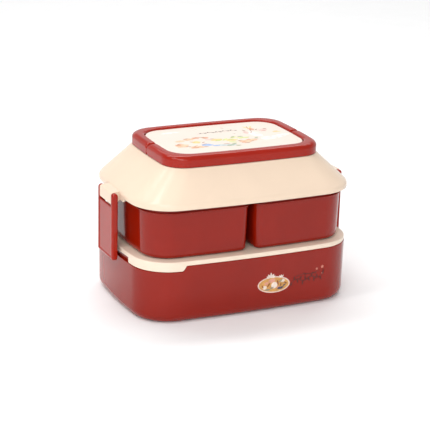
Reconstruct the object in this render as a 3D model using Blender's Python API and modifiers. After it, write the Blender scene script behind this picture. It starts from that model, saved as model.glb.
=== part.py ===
"""Two-tier lunch box with a carrying handle.

A deep lower box with its lid, two upper boxes side by side with inner lids, and a domed cover
that two side latches hold down. The front half of the ring on the cover swings up as the handle.
Dimensions are in millimetres, +X is the long side, the front faces -Y and the base stands on z = 0.
"""

import math

import bmesh
import bpy
from mathutils import Matrix, Vector

MM = 0.001
GAP = 0.3  # between pieces that touch or rest on each other
SAME_POINT = 0.001

EDGE = 0.4  # chamfer along most rims

# Plan shapes: half length, half width, corner radius, bow radius of the long and of the short sides
BOX_PLAN = (100.0, 68.5, 32.8, 1196.0, 399.0)
UPPER_PLAN = (93.6, 62.0, 25.4, 1190.0, 392.0)
COVER_PLAN = (100.1, 68.6, 33.8, 1196.0, 399.0)
RING_PLAN = (71.7, 51.0, 19.8, 1095.0, 557.0)
RING_INNER_PLAN = (62.7, 42.0, 19.0, 1086.0, 548.0)
SPLIT_HALF_GAP = 2.7  # from the middle plane to an upper box's inner side
SPLIT_CORNER = 7.3  # upper box's corner radius beside the split

# Lower box and lid
BOX_RIM_Z = 50.0
BOX_WALL = 2.2
BOX_DRAFT = 0.5
BOX_FILLET = 7.9
BOX_FLOOR = 2.4
FOOT_RECESS = 0.8
RIM_THICKNESS = 4.4
RIM_DEPTH = 6.5  # from the rim down to where its inner side meets the wall
RECESS_LOW_Z = 45.4
RECESS_DEPTH = 2.2
LATCH_RECESS_HALF = 31.0
TAB_FRONT_X = 60.6  # where the lid's corner tab starts on the long side, at its top
TAB_SLANT = 3.5
LID_TOP_Z = 54.0
LID_INSET = 0.25
LID_PLATE = 2.2
TAB_THICKNESS = 1.7
PLUG_GROOVE = 2.5  # room for the seal between the lid's plug and the box's rim
PLUG_THICKNESS = 1.7
PLUG_DEPTH = 4.1
PAD_PLAN = (34.0, 47.0, 12.0, 900.0, 900.0)  # raised pad under each upper box
PAD_X = 48.0
PAD_HEIGHT = 0.8

# Upper boxes and inner lids
UPPER_BASE_Z = LID_TOP_Z + GAP
UPPER_DRAFT = 0.9
UPPER_FILLET = 3.7
UPPER_WALL = 1.8
UPPER_RECESS = 1.1
UPPER_FLOOR = 2.3
FLANGE_Z = 93.2
FLANGE_PROUD = 1.3
UPPER_RIM_Z = 99.0
INNER_LID_PLATE = 1.8
INNER_GROOVE = 2.2
INNER_PLUG_THICKNESS = 1.4
INNER_PLUG_DEPTH = 3.7

# Cover
COVER_LOW_Z = 97.9
SHOULDER_Z = 102.1
SHOULDER_REACH = 2.2  # height of the shoulder's rounding below its corner
SHOULDER_SHARE = 0.07  # share of the slope that the shoulder's rounding takes
SLOPE_TOP_Z = 127.1
DECK_Z = 127.6  # flat step that the ring lies on
SLOPE_THICKNESS_Z = 3.2
COVER_WALL = 2.0
PEDESTAL_GAP = 0.5  # between the ring and the pedestal, whose outline follows the ring's inner one
PEDESTAL_TOP_Z = 134.3
PEDESTAL_SLAB = 3.2
PLATE_TOP_Z = 136.0
INNER_CORNER_SHARE = 0.11  # where the inside of the slope starts, as a share of the slope
RIB_SHARES = (0.26, 0.34)  # where the rib that sits on the inner lids leaves the slope
RIB_INSETS = (7.5, 9.0)
APRON_HALF_WIDTH = 21.0
APRON_LOW_Z = 94.9

# Ring: rear trim and carrying handle
RING_LOW_Z = DECK_Z + GAP
RING_TOP_Z = 137.6
RING_WIDTH = 9.0
RING_OUTER_ROUND = 4.0
RING_INNER_ROUND = 1.8
HANDLE_PIVOT = (0.0, -6.2, (RING_LOW_Z + RING_TOP_Z) / 2)
HANDLE_END_RADIUS = 4.9
TRIM_END_Y = HANDLE_PIVOT[1] + HANDLE_END_RADIUS + GAP
TRIM_END_ROUND = 3.0
HANDLE_PIN_RADIUS = 1.0
HANDLE_PIN_X = (58.9, 68.8)
PIN_END_GAP = 0.4

# Latches
LATCH_OUTER_X = 107.8
LATCH_THICKNESS = 5.5
LATCH_HALF_WIDTH = 17.2
LATCH_LOW_Z = 43.5
LATCH_PLATE = 2.4
LATCH_FACE_RECESS = 0.5
LATCH_PIVOT_X = LATCH_OUTER_X - LATCH_THICKNESS / 2
LATCH_PIVOT_Z = 98.7
LATCH_WINDOW_Z = 89.5  # lower edge of the opening that the cover's lug fills
LATCH_NOSE_X = 100.1
LATCH_NOSE_Z = (45.6, 48.4, BOX_RIM_Z - GAP)  # its root's underside, its tip's underside, its top
LATCH_NOSE_HALF = 11.0
LATCH_PIN_HALF = 15.6
LUG_HALF_WIDTH = 13.1
LUG_LOW_Z = 91.5
LUG_TOP_Z = 101.7
LATCH_PIN_RADIUS = 1.2
PIN_CLEARANCE = 0.25
CLEAR_X = (95.0, 115.0)  # planes well inside and well outside a latch

# Steps along each kind of arc
SHORT_STEPS = 2
LONG_STEPS = 4
CORNER_STEPS = 7
SMALL_CORNER_STEPS = 4
FILLET_STEPS = 4

RED = (0.36, 0.035, 0.022, 1.0)
DEEP_RED = (0.33, 0.03, 0.02, 1.0)
CREAM = (0.93, 0.80, 0.64, 1.0)
PALE_CREAM = (0.95, 0.84, 0.70, 1.0)
SILICONE = (0.80, 0.80, 0.76, 1.0)
STEEL = (0.60, 0.60, 0.61, 1.0)


def clear_scene():
    for old in list(bpy.data.objects):
        bpy.data.objects.remove(old, do_unlink=True)


def new_collection(name):
    collection = bpy.data.collections.new(name)
    bpy.context.scene.collection.children.link(collection)
    return collection


def material_of(name, colour, roughness, metallic=0.0):
    material = bpy.data.materials.new(name)
    material.use_nodes = True
    shader = material.node_tree.nodes["Principled BSDF"]
    shader.inputs["Base Color"].default_value = colour
    shader.inputs["Roughness"].default_value = roughness
    shader.inputs["Metallic"].default_value = metallic
    material.diffuse_color = colour
    return material


# Outlines -------------------------------------------------------------------------------------


def corner_of(plan):
    """Centre of the corner arc, and its normal's angles where it meets the short and the long side."""
    a, b, r, long_bow, short_bow = plan
    side = Vector((a - short_bow, 0.0))
    top = Vector((0.0, b - long_bow))
    span = side - top
    distance = span.length
    to_top, to_side = long_bow - r, short_bow - r
    along = (to_top**2 - to_side**2 + distance**2) / (2 * distance)
    away = math.sqrt(to_top**2 - along**2)
    unit = span / distance
    centre = top + unit * along + Vector((unit.y, -unit.x)) * away
    short_angle = math.atan2(centre.y - side.y, centre.x - side.x)
    long_angle = math.atan2(centre.y - top.y, centre.x - top.x)
    return centre, short_angle, long_angle


def bowed_arcs(plan):
    """Arcs round a rectangle whose sides bow out: centre, radius, start and end angle, steps."""
    a, b, r, long_bow, short_bow = plan
    centre, low, high = corner_of(plan)
    turn = math.pi
    return [
        ((a - short_bow, 0), short_bow, -low, low, SHORT_STEPS),
        ((centre.x, centre.y), r, low, high, CORNER_STEPS),
        ((0, b - long_bow), long_bow, high, turn - high, LONG_STEPS),
        ((-centre.x, centre.y), r, turn - high, turn - low, CORNER_STEPS),
        ((short_bow - a, 0), short_bow, turn - low, turn + low, SHORT_STEPS),
        ((-centre.x, -centre.y), r, turn + low, turn + high, CORNER_STEPS),
        ((0, long_bow - b), long_bow, turn + high, 2 * turn - high, LONG_STEPS),
        ((centre.x, -centre.y), r, 2 * turn - high, 2 * turn - low, CORNER_STEPS),
    ]


def half_arcs(plan, half_gap, corner):
    """Arcs round the +X half of a bowed rectangle, with a straight side at x = half_gap."""
    a, b, r, long_bow, short_bow = plan
    centre, low, high = corner_of(plan)
    turn = math.pi
    inner_x = half_gap + corner
    meet = math.acos(inner_x / (long_bow - corner))
    inner_y = b - long_bow + (long_bow - corner) * math.sin(meet)
    half_long = LONG_STEPS // 2
    return [
        ((a - short_bow, 0), short_bow, -low, low, SHORT_STEPS),
        ((centre.x, centre.y), r, low, high, CORNER_STEPS),
        ((0, b - long_bow), long_bow, high, meet, half_long),
        ((inner_x, inner_y), corner, meet, turn, SMALL_CORNER_STEPS),
        ((inner_x, -inner_y), corner, turn, 2 * turn - meet, SMALL_CORNER_STEPS),
        ((0, long_bow - b), long_bow, 2 * turn - meet, 2 * turn - high, half_long),
        ((centre.x, -centre.y), r, 2 * turn - high, 2 * turn - low, CORNER_STEPS),
    ]


def clipped(arcs, start, stop):
    """The stretch of the arcs whose normals turn from start to stop."""
    found = []
    for centre, radius, low, high, steps in arcs:
        first, last = max(low, start), min(high, stop)
        if last - first > 1e-6:
            found.append((centre, radius, first, last, steps))
    return found


def trace(arcs, is_open=False):
    """Points with their outward normals along the arcs, as (x, y, normal x, normal y)."""
    found = []
    for (cx, cy), radius, start, stop, steps in arcs:
        for i in range(steps + 1):
            angle = start + (stop - start) * i / steps
            nx, ny = math.cos(angle), math.sin(angle)
            point = (cx + radius * nx, cy + radius * ny, nx, ny)
            if not found or math.dist(point[:2], found[-1][:2]) > SAME_POINT:
                found.append(point)
    if not is_open and math.dist(found[0][:2], found[-1][:2]) < SAME_POINT:
        found.pop()
    return found


def mirrored(section):
    """The outline mirrored across the middle plane, still counter-clockwise."""
    return [(-x, y, -nx, ny) for x, y, nx, ny in reversed(section)]


def ring(section, inset, z):
    """The outline moved inwards by inset, at a height."""
    return [Vector((x - inset * nx, y - inset * ny, z)) for x, y, nx, ny in section]


def between(first, second, share, z):
    """A ring part of the way from one ring to another, at its own height."""
    return [
        Vector((*(p.lerp(q, share)).xy, z)) for p, q in zip(first, second, strict=True)
    ]


def quarter_round(inset, z, radius, start, stop):
    """Profile points round a quarter circle about (inset, z), angles in degrees from outwards to up."""
    found = []
    for i in range(FILLET_STEPS + 1):
        angle = math.radians(start + (stop - start) * i / FILLET_STEPS)
        found.append((inset - radius * math.cos(angle), z + radius * math.sin(angle)))
    return found


# Solids ---------------------------------------------------------------------------------------


def object_from(name, bm, collection, origin=(0, 0, 0)):
    """A new object from a bmesh in millimetres, with its own origin."""
    bmesh.ops.recalc_face_normals(bm, faces=bm.faces)
    if bm.calc_volume(signed=True) < 0:
        bmesh.ops.reverse_faces(bm, faces=bm.faces)
    bmesh.ops.translate(bm, verts=bm.verts, vec=-Vector(origin))
    bmesh.ops.scale(bm, verts=bm.verts, vec=(MM, MM, MM))
    mesh = bpy.data.meshes.new(name)
    bm.to_mesh(mesh)
    bm.free()
    made = bpy.data.objects.new(name, mesh)
    made.location = Vector(origin) * MM
    collection.objects.link(made)
    return made


def loft_mesh(rings, joined=False):
    """A closed surface through rings of equal length: its ends are capped, or joined to each other."""
    bm = bmesh.new()
    rows = [[bm.verts.new(point) for point in points] for points in rings]
    pairs = list(zip(rows, rows[1:]))
    if joined:
        pairs.append((rows[-1], rows[0]))
    for lower, upper in pairs:
        for i in range(len(lower)):
            j = (i + 1) % len(lower)
            bm.faces.new((lower[i], lower[j], upper[j], upper[i]))
    if not joined:
        bm.faces.new(reversed(rows[0]))
        bm.faces.new(rows[-1])
    return bm


def lofted(name, section, profile, collection, joined=False, origin=(0, 0, 0)):
    """A solid of one outline, inset as the (inset, z) profile says."""
    rings = [ring(section, inset, z) for inset, z in profile]
    return object_from(name, loft_mesh(rings, joined), collection, origin)


def swept(name, stations, profile, collection, origin=(0, 0, 0)):
    """A closed (inset, z) profile carried along an open stretch of outline."""
    rings = [
        [Vector((x - inset * nx, y - inset * ny, z)) for inset, z in profile]
        for x, y, nx, ny in stations
    ]
    return object_from(name, loft_mesh(rings), collection, origin)


def prism(name, points, low, high, along, collection, origin=(0, 0, 0), bevel=0.0):
    """A flat outline extruded from low to high along X or Y; its points are (y, z) or (x, z)."""
    curve = bpy.data.curves.new(name, "CURVE")
    curve.dimensions = "2D"
    curve.fill_mode = "BOTH"
    curve.extrude = (high - low) / 2
    spline = curve.splines.new("POLY")
    spline.points.add(len(points) - 1)
    for spot, (across, z) in zip(spline.points, points):
        spot.co = (across, z, 0, 1)
    spline.use_cyclic_u = True
    guide = bpy.data.objects.new(name + "_outline", curve)
    collection.objects.link(guide)
    graph = bpy.context.evaluated_depsgraph_get()
    bm = bmesh.new()
    flat = bpy.data.meshes.new_from_object(guide.evaluated_get(graph))
    bm.from_mesh(flat)
    bpy.data.objects.remove(guide, do_unlink=True)
    bpy.data.meshes.remove(flat)
    bmesh.ops.remove_doubles(bm, verts=bm.verts, dist=1e-4)
    middle = (low + high) / 2
    upright = Matrix.Rotation(math.pi / 2, 4, "X")
    turn = upright if along == "Y" else Matrix.Rotation(math.pi / 2, 4, "Z") @ upright
    shift = Vector((0, middle, 0)) if along == "Y" else Vector((middle, 0, 0))
    bmesh.ops.transform(bm, matrix=Matrix.Translation(shift) @ turn, verts=bm.verts)
    made = object_from(name, bm, collection, origin)
    if bevel:
        rounding = made.modifiers.new("rounded_edges", "BEVEL")
        rounding.width = bevel * MM
        rounding.segments = 2
        rounding.limit_method = "ANGLE"
        rounding.angle_limit = math.radians(40)
    return made


def cylinder(name, radius, start, stop, collection, origin=(0, 0, 0), steps=20):
    """A round bar between two points."""
    start, stop = Vector(start), Vector(stop)
    span = stop - start
    turn = Vector((0, 0, 1)).rotation_difference(span.normalized()).to_matrix().to_4x4()
    bm = bmesh.new()
    bmesh.ops.create_cone(
        bm, cap_ends=True, segments=steps, radius1=radius, radius2=radius,
        depth=span.length, matrix=Matrix.Translation((start + stop) / 2) @ turn,
    )
    return object_from(name, bm, collection, origin)


def block(name, low, high, collection):
    """A box between two corners."""
    low, high = Vector(low), Vector(high)
    bm = bmesh.new()
    size = Matrix.Diagonal((*(high - low), 1))
    bmesh.ops.create_cube(bm, size=1, matrix=Matrix.Translation((low + high) / 2) @ size)
    return object_from(name, bm, collection)


def combine(target, tool, operation):
    """Cuts the tool from the target, joins it on, or keeps what they share."""
    tool.hide_render = True
    tool.display_type = "WIRE"
    step = target.modifiers.new(tool.name, "BOOLEAN")
    step.object = tool
    step.operation = operation
    step.solver = "EXACT"


def finish(piece, material, parent=None):
    """Gives a piece its material and smooth shading, and hangs it on its parent where it stands."""
    piece.data.materials.append(material)
    piece.data.shade_smooth()
    piece.data.set_sharp_from_angle(angle=math.radians(35))
    if parent:
        piece.parent = parent
        piece.matrix_parent_inverse = Matrix.Translation(parent.location).inverted()
    return piece


# Lower box ------------------------------------------------------------------------------------


def corner_band(name, sign, insets, heights, clearance, reach_y, collection):
    """A band round one corner of the lower box's outline, with a slanted end on the long side.

    sign -1 is the front left corner and +1 the rear right one. It starts on the short side at
    reach_y, counted towards the other corner.
    """
    arcs = bowed_arcs(BOX_PLAN)
    long_bow, short_bow = BOX_PLAN[3:]
    inner, outer = min(insets), max(insets)
    start = math.pi - math.asin(reach_y / short_bow)
    stops = [
        math.pi + math.acos((TAB_FRONT_X + shift - clearance) / long_bow)
        for shift in (TAB_SLANT, 0.0)
    ]
    low, high = (trace(clipped(arcs, start, stop), is_open=True) for stop in stops)
    rings = []
    for (xl, yl, nxl, nyl), (xh, yh, nxh, nyh) in zip(low, high, strict=True):
        bottom = [(xl - d * nxl, yl - d * nyl, heights[0]) for d in (inner, outer)]
        top = [(xh - d * nxh, yh - d * nyh, heights[1]) for d in (outer, inner)]
        rings.append([Vector((-sign * x, -sign * y, z)) for x, y, z in bottom + top])
    return object_from(name, loft_mesh(rings), collection)


def lower_box(parts, cutters):
    outline = trace(bowed_arcs(BOX_PLAN))
    outer_foot = BOX_DRAFT + BOX_FILLET
    inner_fillet = BOX_FILLET - BOX_WALL + 0.3
    inner_foot = BOX_WALL + BOX_DRAFT + inner_fillet
    profile = [(outer_foot + 5.8, FOOT_RECESS), (outer_foot + 5.0, 0.0)]
    profile += quarter_round(outer_foot, BOX_FILLET, BOX_FILLET, -90, 0)
    profile += [
        (0.0, BOX_RIM_Z - EDGE),
        (EDGE, BOX_RIM_Z),
        (RIM_THICKNESS - EDGE, BOX_RIM_Z),
        (RIM_THICKNESS, BOX_RIM_Z - EDGE),
        (RIM_THICKNESS, BOX_RIM_Z - RIM_DEPTH),
        (BOX_WALL, BOX_RIM_Z - RIM_DEPTH - RIM_THICKNESS + BOX_WALL),
    ]
    profile += quarter_round(inner_foot, BOX_FLOOR + inner_fillet, inner_fillet, 0, -90)
    box = lofted("lower_box", outline, profile, parts)
    for sign, side in ((-1, "left"), (1, "right")):
        recess = corner_band(
            f"recess_{side}", sign, (-1.0, RECESS_DEPTH), (RECESS_LOW_Z, BOX_RIM_Z + 2.0),
            GAP, LATCH_RECESS_HALF, cutters,
        )
        combine(box, recess, "DIFFERENCE")
    return finish(box, material_of("lower_box_plastic", RED, 0.22))


def lid_profile(inset, low, top, plate, plug):
    """Profile of a lid with a plug: top face, rounded rim, underside, plug with its seal's lip.

    plug is (outer inset, lip inset, inner inset, lip top, bottom).
    """
    plug_outer, lip, plug_inner, lip_top, bottom = plug
    return [
        (inset + 0.8, top),
        (inset + 0.2, top - 0.2),
        (inset, top - 0.8),
        (inset, low + 0.2),
        (inset + 0.2, low),
        (plug_outer, low),
        (plug_outer, lip_top),
        (lip, lip_top),
        (lip, bottom),
        (plug_inner, bottom),
        (plug_inner, top - plate),
    ]


def seal_profile(outer, inner, low, high):
    """Profile of a lip seal, bulging outwards."""
    return [
        (outer + 0.4, low),
        (inner, low),
        (inner, high),
        (outer + 0.4, high),
        (outer, high - 0.7),
        (outer, low + 0.7),
    ]


def lower_lid(box, parts, cutters):
    outline = trace(bowed_arcs(BOX_PLAN))
    low = BOX_RIM_Z + GAP
    plug_outer = RIM_THICKNESS + PLUG_GROOVE
    lip = (RIM_THICKNESS + 2 * GAP, low - PLUG_DEPTH + 0.8)
    plug = (plug_outer, lip[0], plug_outer + PLUG_THICKNESS, lip[1], low - PLUG_DEPTH)
    profile = lid_profile(LID_INSET, low, LID_TOP_Z, LID_PLATE, plug)
    lid = lofted("lower_lid", outline, profile, parts, origin=(0, 0, LID_TOP_Z))
    for sign, side in ((-1, "left"), (1, "right")):
        tab = corner_band(
            f"tab_{side}", sign, (LID_INSET + 0.05, LID_INSET + TAB_THICKNESS),
            (RECESS_LOW_Z + GAP, low + 1.2), 0.0, -LATCH_RECESS_HALF, cutters,
        )
        combine(lid, tab, "UNION")
        pad_section = [
            (x + sign * PAD_X, y, nx, ny) for x, y, nx, ny in trace(bowed_arcs(PAD_PLAN))
        ]
        pad_rise = [(0.0, LID_TOP_Z - 0.6), (0.0, LID_TOP_Z + 0.3), (0.5, LID_TOP_Z + PAD_HEIGHT)]
        pad = lofted(f"pad_{side}", pad_section, pad_rise, cutters)
        combine(lid, pad, "UNION")
    finish(lid, material_of("lower_lid_plastic", CREAM, 0.35), box)
    seal_shape = seal_profile(RIM_THICKNESS + GAP, plug_outer - GAP, lip[1] + GAP, low - GAP)
    seal = lofted("lower_lid_seal", outline, seal_shape, parts, joined=True, origin=(0, 0, low))
    finish(seal, material_of("lower_lid_silicone", SILICONE, 0.55), lid)
    return lid


# Upper boxes ----------------------------------------------------------------------------------


def upper_outline(side):
    section = trace(half_arcs(UPPER_PLAN, SPLIT_HALF_GAP, SPLIT_CORNER))
    return section if side == "right" else mirrored(section)


def upper_box(side, lid, parts):
    foot = UPPER_DRAFT + UPPER_FILLET
    inner_fillet = UPPER_FILLET - 1.2
    inner_foot = UPPER_WALL + UPPER_DRAFT + inner_fillet
    floor_z = UPPER_BASE_Z + UPPER_FLOOR
    profile = [(foot + 2.3, UPPER_BASE_Z + UPPER_RECESS), (foot + 2.0, UPPER_BASE_Z)]
    profile += quarter_round(foot, UPPER_BASE_Z + UPPER_FILLET, UPPER_FILLET, -90, 0)
    profile += [
        (0.0, FLANGE_Z),
        (-FLANGE_PROUD, FLANGE_Z + 0.3),
        (-FLANGE_PROUD, FLANGE_Z + 1.0),
        (0.4 - FLANGE_PROUD, FLANGE_Z + 1.3),
        (0.3, FLANGE_Z + 1.3),
        (0.3, UPPER_RIM_Z - 0.3),
        (0.6, UPPER_RIM_Z),
        (UPPER_WALL - 0.3, UPPER_RIM_Z),
        (UPPER_WALL, UPPER_RIM_Z - 0.3),
    ]
    profile += quarter_round(inner_foot, floor_z + inner_fillet, inner_fillet, 0, -90)
    name = f"upper_box_{side}"
    box = lofted(name, upper_outline(side), profile, parts, origin=(0, 0, UPPER_BASE_Z))
    return finish(box, material_of(f"{name}_plastic", RED, 0.22), lid)


def inner_lid(side, box, parts):
    outline = upper_outline(side)
    low = UPPER_RIM_Z + GAP
    top = low + INNER_LID_PLATE
    plug_outer = UPPER_WALL + INNER_GROOVE
    lip = (UPPER_WALL + 2 * GAP, low - INNER_PLUG_DEPTH + 0.7)
    plug_inner = plug_outer + INNER_PLUG_THICKNESS
    plug = (plug_outer, lip[0], plug_inner, lip[1], low - INNER_PLUG_DEPTH)
    profile = lid_profile(0.3, low, top, INNER_LID_PLATE, plug)
    lid = lofted(f"inner_lid_{side}", outline, profile, parts, origin=(0, 0, low))
    finish(lid, material_of(f"inner_lid_{side}_plastic", CREAM, 0.4), box)
    shape = seal_profile(UPPER_WALL + GAP, plug_outer - GAP, lip[1] + GAP, low - GAP)
    seal = lofted(f"inner_seal_{side}", outline, shape, parts, joined=True, origin=(0, 0, low))
    finish(seal, material_of(f"inner_seal_{side}_silicone", SILICONE, 0.55), lid)
    return lid


# Cover ----------------------------------------------------------------------------------------


def shoulder_points():
    """The rounded shoulder as (share of the slope, z), from the slope down to the skirt."""
    rise = (SLOPE_TOP_Z - SHOULDER_Z) * SHOULDER_SHARE
    found = []
    for i in range(FILLET_STEPS + 1):
        t = i / FILLET_STEPS
        share = (1 - t) ** 2 * SHOULDER_SHARE
        z = (1 - t) ** 2 * (SHOULDER_Z + rise) + 2 * t * (1 - t) * SHOULDER_Z
        z += t * t * (SHOULDER_Z - SHOULDER_REACH)
        found.append((share, z))
    return found


def cover_rings():
    """The cover's surface: from the pedestal's top down the outside, then up the inside."""
    skirt = trace(bowed_arcs(COVER_PLAN))
    crown = trace(bowed_arcs(RING_PLAN))
    pedestal = trace(bowed_arcs(RING_INNER_PLAN))
    skirt_edge, crown_edge = ring(skirt, 0, 0), ring(crown, -0.6, 0)

    def slope(share, drop=0.0):
        height = SHOULDER_Z + share * (SLOPE_TOP_Z - SHOULDER_Z) - drop
        return between(skirt_edge, crown_edge, share, height)

    outside = [
        ring(pedestal, PEDESTAL_GAP + 0.5, PEDESTAL_TOP_Z),
        ring(pedestal, PEDESTAL_GAP, PEDESTAL_TOP_Z - 0.5),
        ring(pedestal, PEDESTAL_GAP, DECK_Z),
        ring(crown, -0.1, DECK_Z),
        slope(1.0),
    ]
    outside += [between(skirt_edge, crown_edge, share, z) for share, z in shoulder_points()]
    rim = [
        ring(skirt, 0.0, COVER_LOW_Z + EDGE),
        ring(skirt, EDGE, COVER_LOW_Z),
        ring(skirt, COVER_WALL - EDGE, COVER_LOW_Z),
        ring(skirt, COVER_WALL, COVER_LOW_Z + EDGE),
    ]
    rib_low = UPPER_RIM_Z + GAP + INNER_LID_PLATE + GAP
    rib_outer, rib_inner = RIB_INSETS
    inside = [
        ring(skirt, COVER_WALL, SHOULDER_Z - 1.6),
        slope(INNER_CORNER_SHARE, SLOPE_THICKNESS_Z),
        slope(RIB_SHARES[0], SLOPE_THICKNESS_Z),
        ring(skirt, rib_outer, rib_low),
        ring(skirt, rib_inner, rib_low),
        slope(RIB_SHARES[1], SLOPE_THICKNESS_Z),
        slope(1.0, SLOPE_THICKNESS_Z),
        ring(crown, 2.5, DECK_Z - COVER_WALL),
        ring(pedestal, PEDESTAL_GAP + COVER_WALL, DECK_Z - COVER_WALL),
        ring(pedestal, PEDESTAL_GAP + COVER_WALL, PEDESTAL_TOP_Z - PEDESTAL_SLAB),
    ]
    return outside + rim + inside


def lug_outline(sign):
    """The block that a latch hangs on, as (x, z) points, merging into the cover's shoulder."""
    outer = LATCH_OUTER_X - 0.2
    points = [
        (outer, LUG_LOW_Z + 0.8),
        (outer - 0.8, LUG_LOW_Z),
        (101.9, LUG_LOW_Z),
        (99.0, APRON_LOW_Z + 0.4),
        (99.0, SHOULDER_Z + 0.2),
        (outer - 2.0, LUG_TOP_Z + 0.2),
        (outer - 0.6, LUG_TOP_Z - 0.3),
        (outer, LUG_TOP_Z - 1.2),
    ]
    return [(sign * x, z) for x, z in points]


def cover(lid, parts, cutters):
    pivot_y, pivot_z = HANDLE_PIVOT[1:]
    shell = object_from(
        "cover_shell", loft_mesh(cover_rings()), parts, origin=(0, 0, COVER_LOW_Z)
    )
    short_bow = COVER_PLAN[4]
    reach = math.asin(APRON_HALF_WIDTH / short_bow)
    apron_shape = [
        (0.05, APRON_LOW_Z), (1.95, APRON_LOW_Z),
        (1.95, COVER_LOW_Z + 1.2), (0.05, COVER_LOW_Z + 1.2),
    ]
    for sign, side in ((-1, "left"), (1, "right")):
        arcs = clipped(bowed_arcs(COVER_PLAN), math.pi - reach, math.pi + reach)
        stations = trace(arcs, is_open=True)
        if side == "right":
            stations = mirrored(stations)
        apron = swept(f"apron_{side}", stations, apron_shape, cutters)
        combine(shell, apron, "UNION")
        lug = prism(
            f"lug_{side}", lug_outline(sign), -LUG_HALF_WIDTH, LUG_HALF_WIDTH, "Y", cutters
        )
        combine(shell, lug, "UNION")
        bore_x = sign * LATCH_PIVOT_X
        bore = cylinder(
            f"lug_bore_{side}", LATCH_PIN_RADIUS + PIN_CLEARANCE,
            (bore_x, -LATCH_PIN_HALF, LATCH_PIVOT_Z), (bore_x, LATCH_PIN_HALF, LATCH_PIVOT_Z),
            cutters,
        )
        combine(shell, bore, "DIFFERENCE")
        bore_start, bore_stop = HANDLE_PIN_X[0] - PIN_END_GAP, HANDLE_PIN_X[1]
        socket = cylinder(
            f"pedestal_bore_{side}", HANDLE_PIN_RADIUS + PIN_CLEARANCE,
            (sign * bore_start, pivot_y, pivot_z), (sign * bore_stop, pivot_y, pivot_z), cutters,
        )
        combine(shell, socket, "DIFFERENCE")
    finish(shell, material_of("cover_plastic", CREAM, 0.3), lid)

    plate_profile = [
        (PEDESTAL_GAP + 0.8, PLATE_TOP_Z),
        (PEDESTAL_GAP + 0.2, PLATE_TOP_Z - 0.2),
        (PEDESTAL_GAP, PLATE_TOP_Z - 0.7),
        (PEDESTAL_GAP, PEDESTAL_TOP_Z + GAP),
    ]
    outline = trace(bowed_arcs(RING_INNER_PLAN))
    plate = lofted("top_plate", outline, plate_profile, parts, origin=(0, 0, PLATE_TOP_Z))
    finish(plate, material_of("top_plate_plastic", PALE_CREAM, 0.3), shell)
    return shell


# Ring: rear trim and carrying handle ----------------------------------------------------------


def ring_profile():
    """Closed section of the ring, as (inset, z): square below, well rounded along its top."""
    profile = [(0.5, RING_LOW_Z), (0.0, RING_LOW_Z + 0.5)]
    outer, inner = RING_OUTER_ROUND, RING_INNER_ROUND
    profile += quarter_round(outer, RING_TOP_Z - outer, outer, 0, 90)
    profile += quarter_round(RING_WIDTH - inner, RING_TOP_Z - inner, inner, 90, 180)
    profile += [(RING_WIDTH, RING_LOW_Z + EDGE), (RING_WIDTH - EDGE, RING_LOW_Z)]
    return profile


def ring_stretch(plan, end_y, rear):
    """Stations along one of the ring's outlines, ending on both short sides at the given y."""
    arcs = bowed_arcs(plan)
    start = math.asin(end_y / plan[4])
    if rear:
        return trace(clipped(arcs, start, math.pi - start), is_open=True)
    turned = [
        (centre, radius, low + (2 * math.pi if high <= 0.2 else 0.0),
         high + (2 * math.pi if high <= 0.2 else 0.0), steps)
        for centre, radius, low, high, steps in arcs[1:] + arcs[:1]
    ]
    return trace(clipped(turned, math.pi - start, 2 * math.pi + start), is_open=True)


def ring_half(name, end_y, rear, collection, origin):
    """The ring's section carried between its outer and its inner outline."""
    outer, inner = (ring_stretch(plan, end_y, rear) for plan in (RING_PLAN, RING_INNER_PLAN))
    rings = []
    for (xo, yo, *_normal), (xi, yi, *_normal) in zip(outer, inner, strict=True):
        rings.append([
            Vector((*Vector((xo, yo)).lerp(Vector((xi, yi)), inset / RING_WIDTH), z))
            for inset, z in ring_profile()
        ])
    return object_from(name, loft_mesh(rings), collection, origin)


def rear_trim(shell, parts, cutters):
    trim = ring_half("rear_trim", TRIM_END_Y, True, parts, (0, 0, RING_LOW_Z))
    # The top corner of each end is rounded off, so that the handle's arm clears it when it stands up
    slip = 0.02
    front, top = TRIM_END_Y - slip, RING_TOP_Z + slip
    corner = [(front - 1.0, top + 1.0), (front - 1.0, top - TRIM_END_ROUND)]
    for i in range(FILLET_STEPS + 1):
        angle = math.pi - math.pi / 2 * i / FILLET_STEPS
        corner.append((
            front + TRIM_END_ROUND * (1 + math.cos(angle)),
            top - TRIM_END_ROUND * (1 - math.sin(angle)),
        ))
    corner.append((front + TRIM_END_ROUND, top + 1.0))
    tool = prism("trim_end_corner", corner, -RING_PLAN[0] - 1, RING_PLAN[0] + 1, "X", cutters)
    combine(trim, tool, "DIFFERENCE")
    return finish(trim, material_of("rear_trim_plastic", DEEP_RED, 0.2), shell)


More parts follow.
